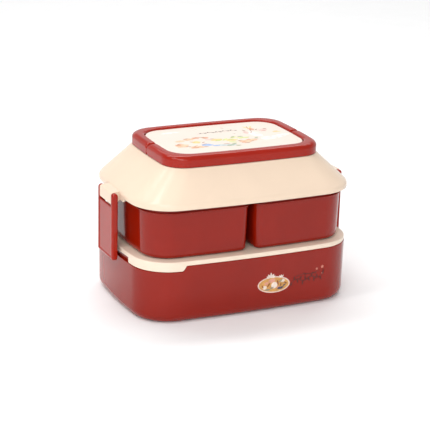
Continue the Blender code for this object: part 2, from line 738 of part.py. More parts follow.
def carry_handle(shell, parts, cutters):
    pivot_y, pivot_z = HANDLE_PIVOT[1:]
    end_y = pivot_y + HANDLE_END_RADIUS + 0.6
    handle = ring_half("carry_handle", end_y, False, parts, HANDLE_PIVOT)
    front_y, reach_z = -RING_PLAN[0], RING_TOP_Z - RING_LOW_Z
    outline = [(front_y, pivot_z + reach_z), (front_y, pivot_z - reach_z), (pivot_y, pivot_z - reach_z)]
    for i in range(25):
        angle = math.radians(-90 + 180 * i / 24)
        outline.append((
            pivot_y + HANDLE_END_RADIUS * math.cos(angle),
            pivot_z + HANDLE_END_RADIUS * math.sin(angle),
        ))
    outline.append((pivot_y, pivot_z + reach_z))
    keep = prism("handle_side_view", outline, -RING_PLAN[0] - 1, RING_PLAN[0] + 1, "X", cutters)
    combine(handle, keep, "INTERSECT")
    for sign, side in ((-1, "left"), (1, "right")):
        pin_start, pin_end = HANDLE_PIN_X
        bore = cylinder(
            f"handle_bore_{side}", HANDLE_PIN_RADIUS + PIN_CLEARANCE,
            (sign * pin_start, pivot_y, pivot_z),
            (sign * (pin_end + PIN_END_GAP), pivot_y, pivot_z), cutters,
        )
        combine(handle, bore, "DIFFERENCE")
        pin = cylinder(
            f"handle_pin_{side}", HANDLE_PIN_RADIUS,
            (sign * pin_start, pivot_y, pivot_z), (sign * pin_end, pivot_y, pivot_z), parts,
            origin=(sign * (pin_start + pin_end) / 2, pivot_y, pivot_z), steps=16,
        )
        finish(pin, material_of(f"handle_pin_{side}_steel", STEEL, 0.35, 1.0), shell)
    return finish(handle, material_of("carry_handle_plastic", DEEP_RED, 0.2), shell)


# Latches --------------------------------------------------------------------------------------


def latch_side_view(sign):
    """A latch's upright outline as (x, z): round about its pin at the top, rounded at its foot."""
    radius = LATCH_THICKNESS / 2
    foot = 1.9
    points = []
    for i in range(9):
        angle = math.radians(180 * i / 8)
        points.append((
            LATCH_PIVOT_X + radius * math.cos(angle), LATCH_PIVOT_Z + radius * math.sin(angle)
        ))
    inner_x = LATCH_OUTER_X - LATCH_THICKNESS
    for centre_x, start in ((inner_x + foot, 180), (LATCH_OUTER_X - foot, 270)):
        for i in range(4):
            angle = math.radians(start + 90 * i / 3)
            points.append((
                centre_x + foot * math.cos(angle), LATCH_LOW_Z + foot + foot * math.sin(angle)
            ))
    return [(sign * x, z) for x, z in points]


def latch(side, shell, parts, cutters):
    sign = 1 if side == "right" else -1
    pivot = (sign * LATCH_PIVOT_X, 0.0, LATCH_PIVOT_Z)
    body = prism(
        f"latch_{side}", latch_side_view(sign), -LATCH_HALF_WIDTH, LATCH_HALF_WIDTH, "Y",
        parts, origin=pivot, bevel=1.2,
    )
    half = LUG_HALF_WIDTH + 0.4
    face_x = LATCH_OUTER_X - LATCH_FACE_RECESS
    back_x = face_x - LATCH_PLATE

    def cut(name, low_x, high_x, low_z, high_z):
        xs = sorted((sign * low_x, sign * high_x))
        tool = block(f"{name}_{side}", (xs[0], -half, low_z), (xs[1], half, high_z), cutters)
        combine(body, tool, "DIFFERENCE")

    inside_x, outside_x = CLEAR_X
    cut("latch_window", inside_x, outside_x, LATCH_WINDOW_Z, LATCH_PIVOT_Z + 2 * LATCH_THICKNESS)
    cut("latch_back", inside_x, back_x, LATCH_LOW_Z + 1.5, LATCH_WINDOW_Z + 1)
    cut("latch_face", face_x, outside_x, LATCH_LOW_Z + 2.4, LATCH_WINDOW_Z + 1)
    root_low_z, tip_low_z, top_z = LATCH_NOSE_Z
    nose_outline = [
        (sign * (back_x + 1.0), top_z),
        (sign * LATCH_NOSE_X, top_z),
        (sign * LATCH_NOSE_X, tip_low_z),
        (sign * (back_x + 1.0), root_low_z),
    ]
    nose = prism(
        f"latch_nose_{side}", nose_outline, -LATCH_NOSE_HALF, LATCH_NOSE_HALF, "Y", cutters
    )
    combine(body, nose, "UNION")
    bore_end = LATCH_PIN_HALF + PIN_END_GAP
    bore = cylinder(
        f"latch_bore_{side}", LATCH_PIN_RADIUS + PIN_CLEARANCE,
        (pivot[0], -bore_end, LATCH_PIVOT_Z), (pivot[0], bore_end, LATCH_PIVOT_Z), cutters,
    )
    combine(body, bore, "DIFFERENCE")
    pin = cylinder(
        f"latch_pin_{side}", LATCH_PIN_RADIUS, (pivot[0], -LATCH_PIN_HALF, LATCH_PIVOT_Z),
        (pivot[0], LATCH_PIN_HALF, LATCH_PIVOT_Z), parts, origin=pivot, steps=16,
    )
    finish(pin, material_of(f"latch_pin_{side}_steel", STEEL, 0.35, 1.0), shell)
    return finish(body, material_of(f"latch_{side}_plastic", DEEP_RED, 0.25), shell)


def main():
    clear_scene()
    parts = new_collection("lunch_box")
    cutters = new_collection("lunch_box_cutters")
    box = lower_box(parts, cutters)
    lid = lower_lid(box, parts, cutters)
    inner_lids = {}
    for side in ("left", "right"):
        inner_lids[side] = inner_lid(side, upper_box(side, lid, parts), parts)
    shell = cover(inner_lids["left"], parts, cutters)
    rear_trim(shell, parts, cutters)
    carry_handle(shell, parts, cutters)
    for side in ("left", "right"):
        latch(side, shell, parts, cutters)


main()
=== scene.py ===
"""Two-tier lunch box in gloss red and cream plastic, on a pale floor under soft studio light.

Lengths in this script are in millimetres and are scaled to metres where a mesh is made.
"""

import bisect
import math

import bmesh
import bpy
from mathutils import Matrix, Vector


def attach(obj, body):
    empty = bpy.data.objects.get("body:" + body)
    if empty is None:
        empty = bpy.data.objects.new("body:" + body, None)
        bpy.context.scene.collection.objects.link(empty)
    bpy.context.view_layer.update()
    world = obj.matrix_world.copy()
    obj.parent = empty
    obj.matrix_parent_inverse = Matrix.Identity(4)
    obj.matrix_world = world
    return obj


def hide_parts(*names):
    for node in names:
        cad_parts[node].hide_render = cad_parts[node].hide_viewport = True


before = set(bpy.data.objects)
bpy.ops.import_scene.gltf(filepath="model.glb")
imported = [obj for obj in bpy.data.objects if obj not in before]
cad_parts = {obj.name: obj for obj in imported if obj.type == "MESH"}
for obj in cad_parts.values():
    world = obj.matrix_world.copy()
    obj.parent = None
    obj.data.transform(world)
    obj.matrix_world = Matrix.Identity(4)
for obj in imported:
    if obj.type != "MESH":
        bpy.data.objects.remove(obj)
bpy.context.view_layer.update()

MM = 0.001
GAP = 0.3
STRAIGHT = 1e6  # radius of an arc that stands for a straight side

# Plan shapes: half length, half width, corner radius, bow radius of the long and of the short sides
BOX_PLAN = (100.0, 68.5, 32.8, 1196.0, 399.0)
UPPER_PLAN = (93.6, 62.0, 25.4, 1190.0, 392.0)
COVER_PLAN = (100.1, 68.6, 33.8, 1196.0, 399.0)
RING_PLAN = (71.7, 51.0, 19.8, 1095.0, 557.0)
RING_INNER_PLAN = (62.7, 42.0, 19.0, 1086.0, 548.0)
PAD_PLAN = (34.0, 47.0, 12.0, 900.0, 900.0)
SPLIT_HALF_GAP = 2.7
SPLIT_CORNER = 7.3

# Lower box and lid
BOX_RIM_Z = 50.0
BOX_WALL = 2.2
BOX_DRAFT = 0.5
BOX_FILLET = 7.9
BOX_FLOOR = 2.4
FOOT_RECESS = 0.8
GATE_RADIUS = 7.0
WALL_TOP_Z = BOX_RIM_Z - 0.45  # where the rim's rounded edge starts
RIM_THICKNESS = 4.4
RIM_DEPTH = 6.5
RECESS_LOW_Z = 45.4
RECESS_DEPTH = 2.2
RECESS_HALF = 31.0
TAB_END_X = 64.1  # foot of the lid tab's slanted end on the long side
TAB_SLOPE = 3.5 / 5.8  # how far that end leans for each millimetre of height
TAB_LOW_Z = 45.7
LID_INSET = 0.25
LID_LOW_Z = BOX_RIM_Z + GAP
LID_TOP_Z = 54.0
LID_PLATE = 2.2
PLUG_OUTER = 6.9
PLUG_INNER = 8.6
PLUG_LOW_Z = 46.2
PLUG_LIP = (5.0, 47.0)
PAD_X = 48.0
PAD_HEIGHT = 0.8

# Upper boxes and inner lids
UPPER_BASE_Z = LID_TOP_Z + GAP
UPPER_DRAFT = 0.9
UPPER_FILLET = 3.7
UPPER_WALL = 1.8
UPPER_FLOOR = 2.3
FLANGE_Z = 93.2
FLANGE_PROUD = 1.3
UPPER_RIM_Z = 99.0
INNER_LOW_Z = UPPER_RIM_Z + GAP
INNER_TOP_Z = INNER_LOW_Z + 1.8
INNER_PLUG = (4.0, 5.4, 95.6)
INNER_LIP = (2.4, 96.3)

# Cover
COVER_LOW_Z = 97.9
APRON_DROP = 3.0
APRON_HALF = 21.0
SHOULDER_Z = 102.1
SHOULDER_REACH = 2.2
SHOULDER_SHARE = 0.07
SLOPE_TOP_Z = 127.1
SLOPE_THICKNESS_Z = 3.2
DECK_Z = 127.6
COVER_WALL = 2.0
PEDESTAL_GAP = 0.5  # inside the ring's inner outline
PEDESTAL_TOP_Z = 134.3
PEDESTAL_SLAB = 3.2
PLATE_TOP_Z = 136.0
LUG_HALF = 13.1
LUG_LOW_Z = 91.5
LUG_TOP_Z = 101.7
LUG_ROOT_X = 99.0  # inside the cover's wall

# Ring
RING_LOW_Z = DECK_Z + GAP
RING_TOP_Z = 137.6
RING_HEIGHT = RING_TOP_Z - RING_LOW_Z
RING_WIDTH = 9.0
RING_OUTER_ROUND = 4.0
RING_INNER_ROUND = 1.8
HANDLE_PIVOT_Y = -6.2
HANDLE_PIVOT_Z = 132.75
HANDLE_END = 4.85
TRIM_END_Y = -1.0
TRIM_END_ROUND = 3.0
HANDLE_PIN_X = (58.9, 68.8)
HANDLE_PIN_RADIUS = 1.0
HANDLE_BORE_RADIUS = 1.25

# Latches
LATCH_OUTER_X = 107.8
LATCH_THICKNESS = 5.5
LATCH_INNER_X = LATCH_OUTER_X - LATCH_THICKNESS
LATCH_HALF = 17.2
LATCH_LOW_Z = 43.5
LATCH_FACE_X = 107.3
LATCH_BACK_X = 104.9
LATCH_PIVOT_X = 105.05
LATCH_PIVOT_Z = 98.7
LATCH_WINDOW_Z = 89.5
LATCH_WINDOW_HALF = 13.5
LATCH_NOSE_X = 100.1
LATCH_NOSE_HALF = 11.0
LATCH_NOSE_TOP_Z = 49.7
LATCH_EDGE = 1.5
LATCH_FOOT_ROUND = 1.9
LATCH_FOOT_BACK_Z = 45.0
LATCH_PIN_HALF = 15.6
LATCH_PIN_RADIUS = 1.2
LATCH_BORE_RADIUS = 1.45
BORE_END_GAP = 0.4

# Colours as scene-linear values
RED = (0.255, 0.0085, 0.0015)
DEEP_RED = (0.330, 0.0110, 0.0025)
CREAM = (0.800, 0.635, 0.490)
LID_CREAM = (0.830, 0.690, 0.555)
PALE_CREAM = (0.800, 0.695, 0.610)
SILICONE = (0.780, 0.780, 0.740)
STEEL = (0.600, 0.600, 0.610)

INK_LOW = 0.015  # underside of every printed shape, above the surface it lies on
INK_STEP = 0.0012  # how much each shape of a print lies above the one before it


# Outlines -------------------------------------------------------------------------------------


class Path:
    """An outline made of tangent arcs: (centre, radius, start angle, stop angle, steps)."""

    def __init__(self, arcs):
        self.arcs = arcs
        self.ends = []
        total = 0.0
        for _centre, radius, start, stop, _steps in arcs:
            total += radius * (stop - start)
            self.ends.append(total)
        self.length = total

    def place(self, distance):
        """The arc at a distance along the path, and how far along that arc it lies, from 0 to 1."""
        distance %= self.length
        i = min(bisect.bisect_right(self.ends, distance), len(self.arcs) - 1)
        before = self.ends[i - 1] if i else 0.0
        return i, (distance - before) / (self.ends[i] - before)

    def spot(self, place):
        """(x, y, normal x, normal y) at a place."""
        i, share = place
        (cx, cy), radius, start, stop, _steps = self.arcs[i]
        angle = start + (stop - start) * share
        nx, ny = math.cos(angle), math.sin(angle)
        return cx + radius * nx, cy + radius * ny, nx, ny

    def at(self, distance):
        return self.spot(self.place(distance))

    def reach(self, x, y):
        """Distance along the path to its point nearest to (x, y)."""
        best = (1e9, 0.0)
        before = 0.0
        for ((cx, cy), radius, start, stop, _steps), end in zip(self.arcs, self.ends):
            middle = (start + stop) / 2
            angle = math.atan2(y - cy, x - cx)
            angle += 2 * math.pi * round((middle - angle) / (2 * math.pi))
            angle = min(max(angle, start), stop)
            miss = math.dist((cx + radius * math.cos(angle), cy + radius * math.sin(angle)), (x, y))
            best = min(best, (miss, before + radius * (angle - start)))
            before = end
        return best[1]

    def stations(self, extra=(), start=0.0, stop=None):
        """Distances to sample the path at: even steps along each arc, and the extra ones."""
        stop = self.length if stop is None else stop
        found = set(extra)
        before = 0.0
        for (_centre, _radius, _start, _stop, steps), end in zip(self.arcs, self.ends):
            for i in range(steps):
                spot = before + (end - before) * i / steps
                found |= {spot, spot + self.length}
            before = end
        kept = []
        for spot in sorted(found):
            if start - 1e-6 <= spot < stop - 1e-6 and (not kept or spot - kept[-1] > 0.008):
                kept.append(spot)
        return kept


def corner_of(plan):
    """Centre of the corner arc, and its normal's angles where it meets the short and the long side."""
    a, b, r, long_bow, short_bow = plan
    side = Vector((a - short_bow, 0.0))
    top = Vector((0.0, b - long_bow))
    span = side - top
    distance = span.length
    to_top, to_side = long_bow - r, short_bow - r
    along = (to_top**2 - to_side**2 + distance**2) / (2 * distance)
    away = math.sqrt(to_top**2 - along**2)
    unit = span / distance
    centre = top + unit * along + Vector((unit.y, -unit.x)) * away
    short_angle = math.atan2(centre.y - side.y, centre.x - side.x)
    long_angle = math.atan2(centre.y - top.y, centre.x - top.x)
    return centre, short_angle, long_angle


def bowed(plan, short_steps=8, corner_steps=16, long_steps=14):
    """A rectangle whose sides bow out, counter-clockwise from the right side's front end."""
    a, b, r, long_bow, short_bow = plan
    c, low, high = corner_of(plan)
    turn = math.pi
    return Path([
        ((a - short_bow, 0), short_bow, -low, low, short_steps),
        ((c.x, c.y), r, low, high, corner_steps),
        ((0, b - long_bow), long_bow, high, turn - high, long_steps),
        ((-c.x, c.y), r, turn - high, turn - low, corner_steps),
        ((short_bow - a, 0), short_bow, turn - low, turn + low, short_steps),
        ((-c.x, -c.y), r, turn + low, turn + high, corner_steps),
        ((0, long_bow - b), long_bow, turn + high, 2 * turn - high, long_steps),
        ((c.x, -c.y), r, 2 * turn - high, 2 * turn - low, corner_steps),
    ])


def half_bowed(plan, half_gap, corner):
    """The +X half of a bowed rectangle, with a straight side at x = half_gap."""
    a, b, r, long_bow, short_bow = plan
    c, low, high = corner_of(plan)
    turn = math.pi
    inner_x = half_gap + corner
    meet = math.acos(inner_x / (long_bow - corner))
    inner_y = b - long_bow + (long_bow - corner) * math.sin(meet)
    tilt = inner_y / STRAIGHT
    return Path([
        ((a - short_bow, 0), short_bow, -low, low, 8),
        ((c.x, c.y), r, low, high, 14),
        ((0, b - long_bow), long_bow, high, meet, 8),
        ((inner_x, inner_y), corner, meet, turn, 9),
        ((half_gap + STRAIGHT, 0), STRAIGHT, turn - tilt, turn + tilt, 8),
        ((inner_x, -inner_y), corner, turn, 2 * turn - meet, 9),
        ((0, long_bow - b), long_bow, 2 * turn - meet, 2 * turn - high, 8),
        ((c.x, -c.y), r, 2 * turn - high, 2 * turn - low, 14),
    ])


def circle(radius):
    return Path([((0.0, 0.0), radius, 0.0, 2 * math.pi, 32)])


def inward(spot, inset, z):
    """A spot of an outline, moved inwards by inset, at a height."""
    x, y, nx, ny = spot
    return Vector((x - inset * nx, y - inset * ny, z))


def arc(inset, z, radius, start, stop, steps):
    """Profile points round a centre, angles in degrees from outwards (0) to up (90)."""
    found = []
    for i in range(steps + 1):
        angle = math.radians(start + (stop - start) * i / steps)
        found.append((inset - radius * math.cos(angle), z + radius * math.sin(angle)))
    return found


def ramp(points, value):
    """Straight-line interpolation through (position, height) points, level beyond its ends."""
    if value <= points[0][0]:
        return points[0][1]
    for (x0, y0), (x1, y1) in zip(points, points[1:]):
        if value <= x1:
            return y0 + (y1 - y0) * (value - x0) / (x1 - x0)
    return points[-1][1]


# Meshes ---------------------------------------------------------------------------------------


def skin(name, rows, joined=False):
    """A closed object through closed rows of points, its ends capped or joined to each other."""
    count = len(rows[0])
    points = [point * MM for row in rows for point in row]
    faces = []
    for i in range(len(rows) if joined else len(rows) - 1):
        low, high = i * count, (i + 1) % len(rows) * count
        for j in range(count):
            k = (j + 1) % count
            faces.append((low + j, low + k, high + k, high + j))
    if not joined:
        faces.append(tuple(reversed(range(count))))
        faces.append(tuple(range((len(rows) - 1) * count, len(rows) * count)))
    return object_of(name, points, faces)


def object_of(name, points, faces):
    """A mesh object from points in metres, with its faces turned outwards."""
    mesh = bpy.data.meshes.new(name)
    mesh.from_pydata(points, [], faces)
    bm = bmesh.new()
    bm.from_mesh(mesh)
    if bm.calc_volume(signed=True) < 0:
        bmesh.ops.reverse_faces(bm, faces=bm.faces)
        bm.to_mesh(mesh)
    bm.free()
    made = bpy.data.objects.new(name, mesh)
    bpy.context.scene.collection.objects.link(made)
    return made


def lofted(name, path, profile, side=1, joined=False):
    """A solid of one outline, inset as the (inset, z) profile says; side -1 mirrors it in X."""
    spots = [path.at(s) for s in path.stations()]
    rows = [[inward(spot, inset, z) for spot in spots] for inset, z in profile]
    if side < 0:
        rows = [[Vector((-p.x, p.y, p.z)) for p in row] for row in rows]
    return skin(name, rows, joined)


def bar(name, radius, start, stop, edge=0.0):
    """A round bar between two points at one height, with rounded-off edges."""
    start, stop = Vector(start), Vector(stop)
    along = (stop - start).normalized()
    across = Vector((0, 0, 1))
    other = along.cross(across)
    tip = [(0.0, radius)]
    if edge:
        bends = [math.radians(angle) for angle in (90, 60, 30, 0)]
        tip = [(edge * (1 - math.sin(t)), radius - edge * (1 - math.cos(t))) for t in bends]
    turns = [2 * math.pi * i / 32 for i in range(32)]
    rows = []
    for end, sign, shape in ((start, 1, tip), (stop, -1, tip[::-1])):
        for depth, reach in shape:
            centre = end + along * sign * depth
            rows.append([
                centre + across * reach * math.cos(t) + other * reach * math.sin(t) for t in turns
            ])
    return skin(name, rows)


def handle_bar(name, side, radius, start, stop, edge=0.0):
    """A bar on the handle's hinge line, between two distances from the middle."""
    y, z = HANDLE_PIVOT_Y, HANDLE_PIVOT_Z
    return bar(name, radius, (side * start, y, z), (side * stop, y, z), edge)


def latch_bar(name, side, radius, half, edge=0.0):
    """A bar on a latch's hinge line, reaching as far to the front as to the back."""
    x, z = side * LATCH_PIVOT_X, LATCH_PIVOT_Z
    return bar(name, radius, (x, -half, z), (x, half, z), edge)


def combine(target, tool, operation):
    """Cuts the tool from the target or joins it on, applies that, and removes the tool."""
    step = target.modifiers.new("combine", "BOOLEAN")
    step.object = tool
    step.operation = operation
    step.solver = "EXACT"
    graph = bpy.context.evaluated_depsgraph_get()
    made = bpy.data.meshes.new_from_object(target.evaluated_get(graph))
    old = target.data
    target.modifiers.clear()
    target.data = made
    bpy.data.meshes.remove(old)
    old = tool.data
    bpy.data.objects.remove(tool, do_unlink=True)
    bpy.data.meshes.remove(old)


def finish(piece, material, body, slot, *nodes):
    """Smooth shading, a material, and the piece's place in the frame."""
    piece.data.materials.clear()
    piece.data.materials.append(material)
    piece.data.shade_smooth()
    piece.data.set_sharp_from_angle(angle=math.radians(38))
    weighted = piece.modifiers.new("weighted_normals", "WEIGHTED_NORMAL")
    weighted.keep_sharp = True
    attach(piece, body)
    if nodes:
        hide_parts(*nodes)
    return piece


def banded(start, stop, rise):
    """Control points (distance, 0 to 1) of a band that rises at its start and falls at its stop."""
    return [(start + x, y) for x, y in rise] + [(stop - x, y) for x, y in reversed(rise)]


# Lower box and its lid ------------------------------------------------------------------------


def box_inset(z):
    """How far the drafted wall of the lower box stands inside its outline at a height."""
    return BOX_DRAFT * (WALL_TOP_Z - z) / (WALL_TOP_Z - BOX_FILLET)


def level(profile):
    """Profile points (inset, z) with no share of a recess or of a tab."""
    return [(inset, z, 0.0) for inset, z in profile]


def lean(z):
    """How far the tab's slanted end has moved towards the corner at a height below the rim."""
    return (BOX_RIM_Z - min(max(z, RECESS_LOW_Z), BOX_RIM_Z)) * TAB_SLOPE


class Corners:
    """The lower box's outline, with the tab and its recess at the front left and rear right corners."""

    def __init__(self):
        self.path = bowed(BOX_PLAN)
        self.half = self.path.length / 2
        end_x = TAB_END_X - (BOX_RIM_Z - TAB_LOW_Z) * TAB_SLOPE
        self.tab_end = self.path.reach(-end_x, -BOX_PLAN[1])
        self.tab_start = self.path.reach(-BOX_PLAN[0], -RECESS_HALF)
        self.recess_start = self.path.reach(-BOX_PLAN[0], RECESS_HALF)

    def band(self, start, stop, edge):
        """A band between two distances with steep sides, rounded by an edge."""
        rise = [(-1.4 * edge, 0.0), (-0.5 * edge, 0.04), (-0.05, 0.16), (0.0, 0.84)]
        rise += [(0.4 * edge, 0.96), (1.3 * edge, 1.0)]
        return banded(start, stop, rise)

    def height(self, band, distance):
        """The band's height at a distance, on either half of the outline."""
        return ramp(band, self.folded(distance, band[0][0] - 20))

    def folded(self, distance, low):
        """The same spot on the half of the outline that starts at low."""
        return low + (distance - low) % self.half

    def shear(self, distance):
        """Share of the slanted end's lean that a distance takes: all of it near that end."""
        near = abs(self.folded(distance, self.tab_end - self.half / 2) - self.tab_end)
        return ramp([(3.0, 1.0), (16.0, 0.0)], near)

    def columns(self, band):
        """Distances to sample the outline at, on both halves: the band's and the slanted end's."""
        extra = {x for x, _y in band}
        extra |= {self.tab_end + d for d in (-13, -10, -7, -5, -3, -2, 2, 3, 5, 7, 10, 13)}
        extra = {self.folded(x, 0.0) for x in extra}
        return self.path.stations(extra | {x + self.half for x in extra})

    def point(self, distance, inset, z):
        """A point of the outline at a height, moved along with the slanted end."""
        return inward(self.path.at(distance - lean(z) * self.shear(distance)), inset, z)


def lower_box(material):
    corners = Corners()
    band = corners.band(corners.recess_start, corners.tab_end + GAP, 0.3)
    columns = corners.columns(band)
    foot = BOX_DRAFT + BOX_FILLET
    outer = [
        (foot + 6.2, FOOT_RECESS), (foot + 5.9, FOOT_RECESS - 0.08), (foot + 5.6, 0.4),
        (foot + 5.4, 0.08), (foot + 5.1, 0.0), (foot + 2.5, 0.0),
    ]
    outer += arc(foot, BOX_FILLET, BOX_FILLET, -90, 0, 12)
    outer += [(box_inset(z), z) for z in (12, 18, 24, 30, 36, 42)]
    # With the share of the recess's depth
    rim = [
        (0.05, RECESS_LOW_Z - 0.5, 0.0), (0.05, RECESS_LOW_Z - 0.2, 0.015),
        (0.05, RECESS_LOW_Z - 0.04, 0.07), (0.05, RECESS_LOW_Z, 0.2),
        (0.05, RECESS_LOW_Z + 0.01, 0.84), (0.04, RECESS_LOW_Z + 0.1, 0.96),
        (0.04, RECESS_LOW_Z + 0.35, 1.0), (0.02, 47.5, 1.0), (0.0, WALL_TOP_Z, 1.0),
        (0.06, BOX_RIM_Z - 0.2, 1.0), (0.2, BOX_RIM_Z - 0.06, 1.0), (0.45, BOX_RIM_Z, 1.0),
    ]
    ledge_z = BOX_RIM_Z - RIM_DEPTH
    wall_z = ledge_z - RIM_THICKNESS + BOX_WALL
    inner = [
        (RIM_THICKNESS - 0.45, BOX_RIM_Z), (RIM_THICKNESS - 0.2, BOX_RIM_Z - 0.06),
        (RIM_THICKNESS - 0.06, BOX_RIM_Z - 0.2), (RIM_THICKNESS, WALL_TOP_Z),
        (RIM_THICKNESS, ledge_z + 0.3), (RIM_THICKNESS - 0.15, ledge_z - 0.1),
        (BOX_WALL + 0.15, wall_z + 0.1), (BOX_WALL, wall_z - 0.4),
    ]
    fillet = BOX_FILLET - BOX_WALL + 0.3
    inner += arc(BOX_WALL + BOX_DRAFT + fillet, BOX_FLOOR + fillet, fillet, 0, -90, 8)
    depths = [RECESS_DEPTH * corners.height(band, s) for s in columns]
    rows = [
        [corners.point(s, inset + share * depth, z) for s, depth in zip(columns, depths)]
        for inset, z, share in level(outer) + rim + level(inner)
    ]
    box = skin("red_lower_box", rows)
    dome = [(0.0, -1.0), (0.0, 1.0), (0.25, 1.15), (5.2, 1.2), (6.0, 1.0)]
    combine(box, lofted("gate", circle(GATE_RADIUS), dome), "DIFFERENCE")
    return finish(box, material, "lower_box", "red_plastic", "lower_box")


def lower_lid(material):
    corners = Corners()
    band = corners.band(corners.tab_start, corners.tab_end, 0.5)
    columns = corners.columns(band)
    top = [(9.0, LID_TOP_Z), (4.0, LID_TOP_Z)]
    top += arc(LID_INSET + 0.9, LID_TOP_Z - 0.9, 0.9, 90, 0, 6)
    edge_z = LID_LOW_Z - 0.15
    # With the share of the tab's drop
    rim = [
        (LID_INSET, LID_LOW_Z + 0.9, 0.0), (LID_INSET, edge_z + 0.5, 1.0),
        (LID_INSET + 0.07, edge_z + 0.2, 1.0), (LID_INSET + 0.22, edge_z + 0.05, 1.0),
        (LID_INSET + 0.5, edge_z, 1.0), (LID_INSET + 1.3, edge_z, 1.0),
        (LID_INSET + 1.6, edge_z + 0.04, 1.0), (LID_INSET + 1.7, edge_z + 0.09, 1.0),
        (LID_INSET + 1.72, edge_z + 0.12, 0.06), (LID_INSET + 1.9, LID_LOW_Z, 0.0),
    ]
    lip, lip_z = PLUG_LIP
    under_z = LID_TOP_Z - LID_PLATE
    plug = [
        (PLUG_OUTER - 0.2, LID_LOW_Z), (PLUG_OUTER, LID_LOW_Z - 0.2),
        (PLUG_OUTER, lip_z + 0.2), (PLUG_OUTER - 0.2, lip_z), (lip + 0.2, lip_z),
        (lip, lip_z - 0.2), (lip, PLUG_LOW_Z + 0.3), (lip + 0.3, PLUG_LOW_Z),
        (PLUG_INNER - 0.3, PLUG_LOW_Z), (PLUG_INNER, PLUG_LOW_Z + 0.3),
        (PLUG_INNER, under_z - 0.5), (PLUG_INNER + 0.5, under_z),
    ]
    drops = [(edge_z - TAB_LOW_Z) * corners.height(band, s) for s in columns]
    rows = [
        [corners.point(s, inset, z - share * drop) for s, drop in zip(columns, drops)]
        for inset, z, share in level(top) + rim + level(plug)
    ]
    lid = skin("cream_lower_lid", rows)
    path = bowed(PAD_PLAN, 6, 8, 6)
    spots = [path.at(s) for s in path.stations()]
    pad = [(0.0, LID_TOP_Z - 0.6), (0.0, LID_TOP_Z + 0.2)]
    pad += arc(0.5, LID_TOP_Z + PAD_HEIGHT - 0.5, 0.5, 0, 90, 4)
    for x in (-PAD_X, PAD_X):
        rows = [[inward(spot, inset, z) + Vector((x, 0, 0)) for spot in spots] for inset, z in pad]
        combine(lid, skin("pad", rows), "UNION")
    return finish(lid, material, "lower_lid", "cream_plastic", "lower_lid")


def seal(name, path, outer, inner, low, high, material, body, node, side=1):
    """A lip seal with two rounded lips on its outer side."""
    middle = (low + high) / 2
    profile = [(inner, low + 0.2), (inner, high - 0.2), (inner - 0.2, high)]
    for centre in ((middle + high) / 2, (low + middle) / 2):
        reach = (high - low) / 4 - 0.05
        for i in range(7):
            angle = math.radians(90 - 180 * i / 6)
            profile.append((outer + 0.45 * (1 - math.cos(angle)), centre + reach * math.sin(angle)))
    profile.append((inner - 0.2, low))
    made = lofted(name, path, profile, side, joined=True)
    return finish(made, material, body, "silicone", node)


# Upper boxes ----------------------------------------------------------------------------------


def upper_box(side, name, material):
    path = half_bowed(UPPER_PLAN, SPLIT_HALF_GAP, SPLIT_CORNER)
    foot = UPPER_DRAFT + UPPER_FILLET
    inner_fillet = UPPER_FILLET - 1.2
    base = UPPER_BASE_Z
    profile = [
        (foot + 2.5, base + 1.1), (foot + 2.3, base + 1.05), (foot + 2.2, base + 0.9),
        (foot + 2.1, base + 0.2), (foot + 1.9, base), (foot + 0.5, base),
    ]
    profile += arc(foot, base + UPPER_FILLET, UPPER_FILLET, -90, 0, 9)
    wall_low = base + UPPER_FILLET
    for z in (65.0, 74.0, 83.0, 90.0):
        profile.append((UPPER_DRAFT * (FLANGE_Z - z) / (FLANGE_Z - wall_low), z))
    proud = -FLANGE_PROUD
    profile += [
        (-0.03, FLANGE_Z - 0.5), (-0.16, FLANGE_Z - 0.15), (-0.45, FLANGE_Z + 0.05),
        (proud + 0.3, FLANGE_Z + 0.22), (proud + 0.08, FLANGE_Z + 0.36), (proud, FLANGE_Z + 0.6),
        (proud, FLANGE_Z + 0.85), (proud + 0.08, FLANGE_Z + 1.1), (proud + 0.4, FLANGE_Z + 1.28),
        (0.05, FLANGE_Z + 1.32), (0.25, FLANGE_Z + 1.42), (0.3, FLANGE_Z + 1.7),
        (0.3, UPPER_RIM_Z - 0.35), (0.4, UPPER_RIM_Z - 0.1), (0.65, UPPER_RIM_Z),
        (UPPER_WALL - 0.35, UPPER_RIM_Z), (UPPER_WALL - 0.1, UPPER_RIM_Z - 0.1),
        (UPPER_WALL, UPPER_RIM_Z - 0.35), (UPPER_WALL + 0.1, 90.0), (UPPER_WALL + 0.5, 74.0),
    ]
    floor = base + UPPER_FLOOR
    inner_foot = UPPER_WALL + UPPER_DRAFT + inner_fillet
    profile += arc(inner_foot, floor + inner_fillet, inner_fillet, 0, -90, 7)
    box = lofted(f"red_upper_box_{name}", path, profile, side)
    return finish(box, material, f"upper_box_{name}", "red_plastic", f"upper_box_{name}")


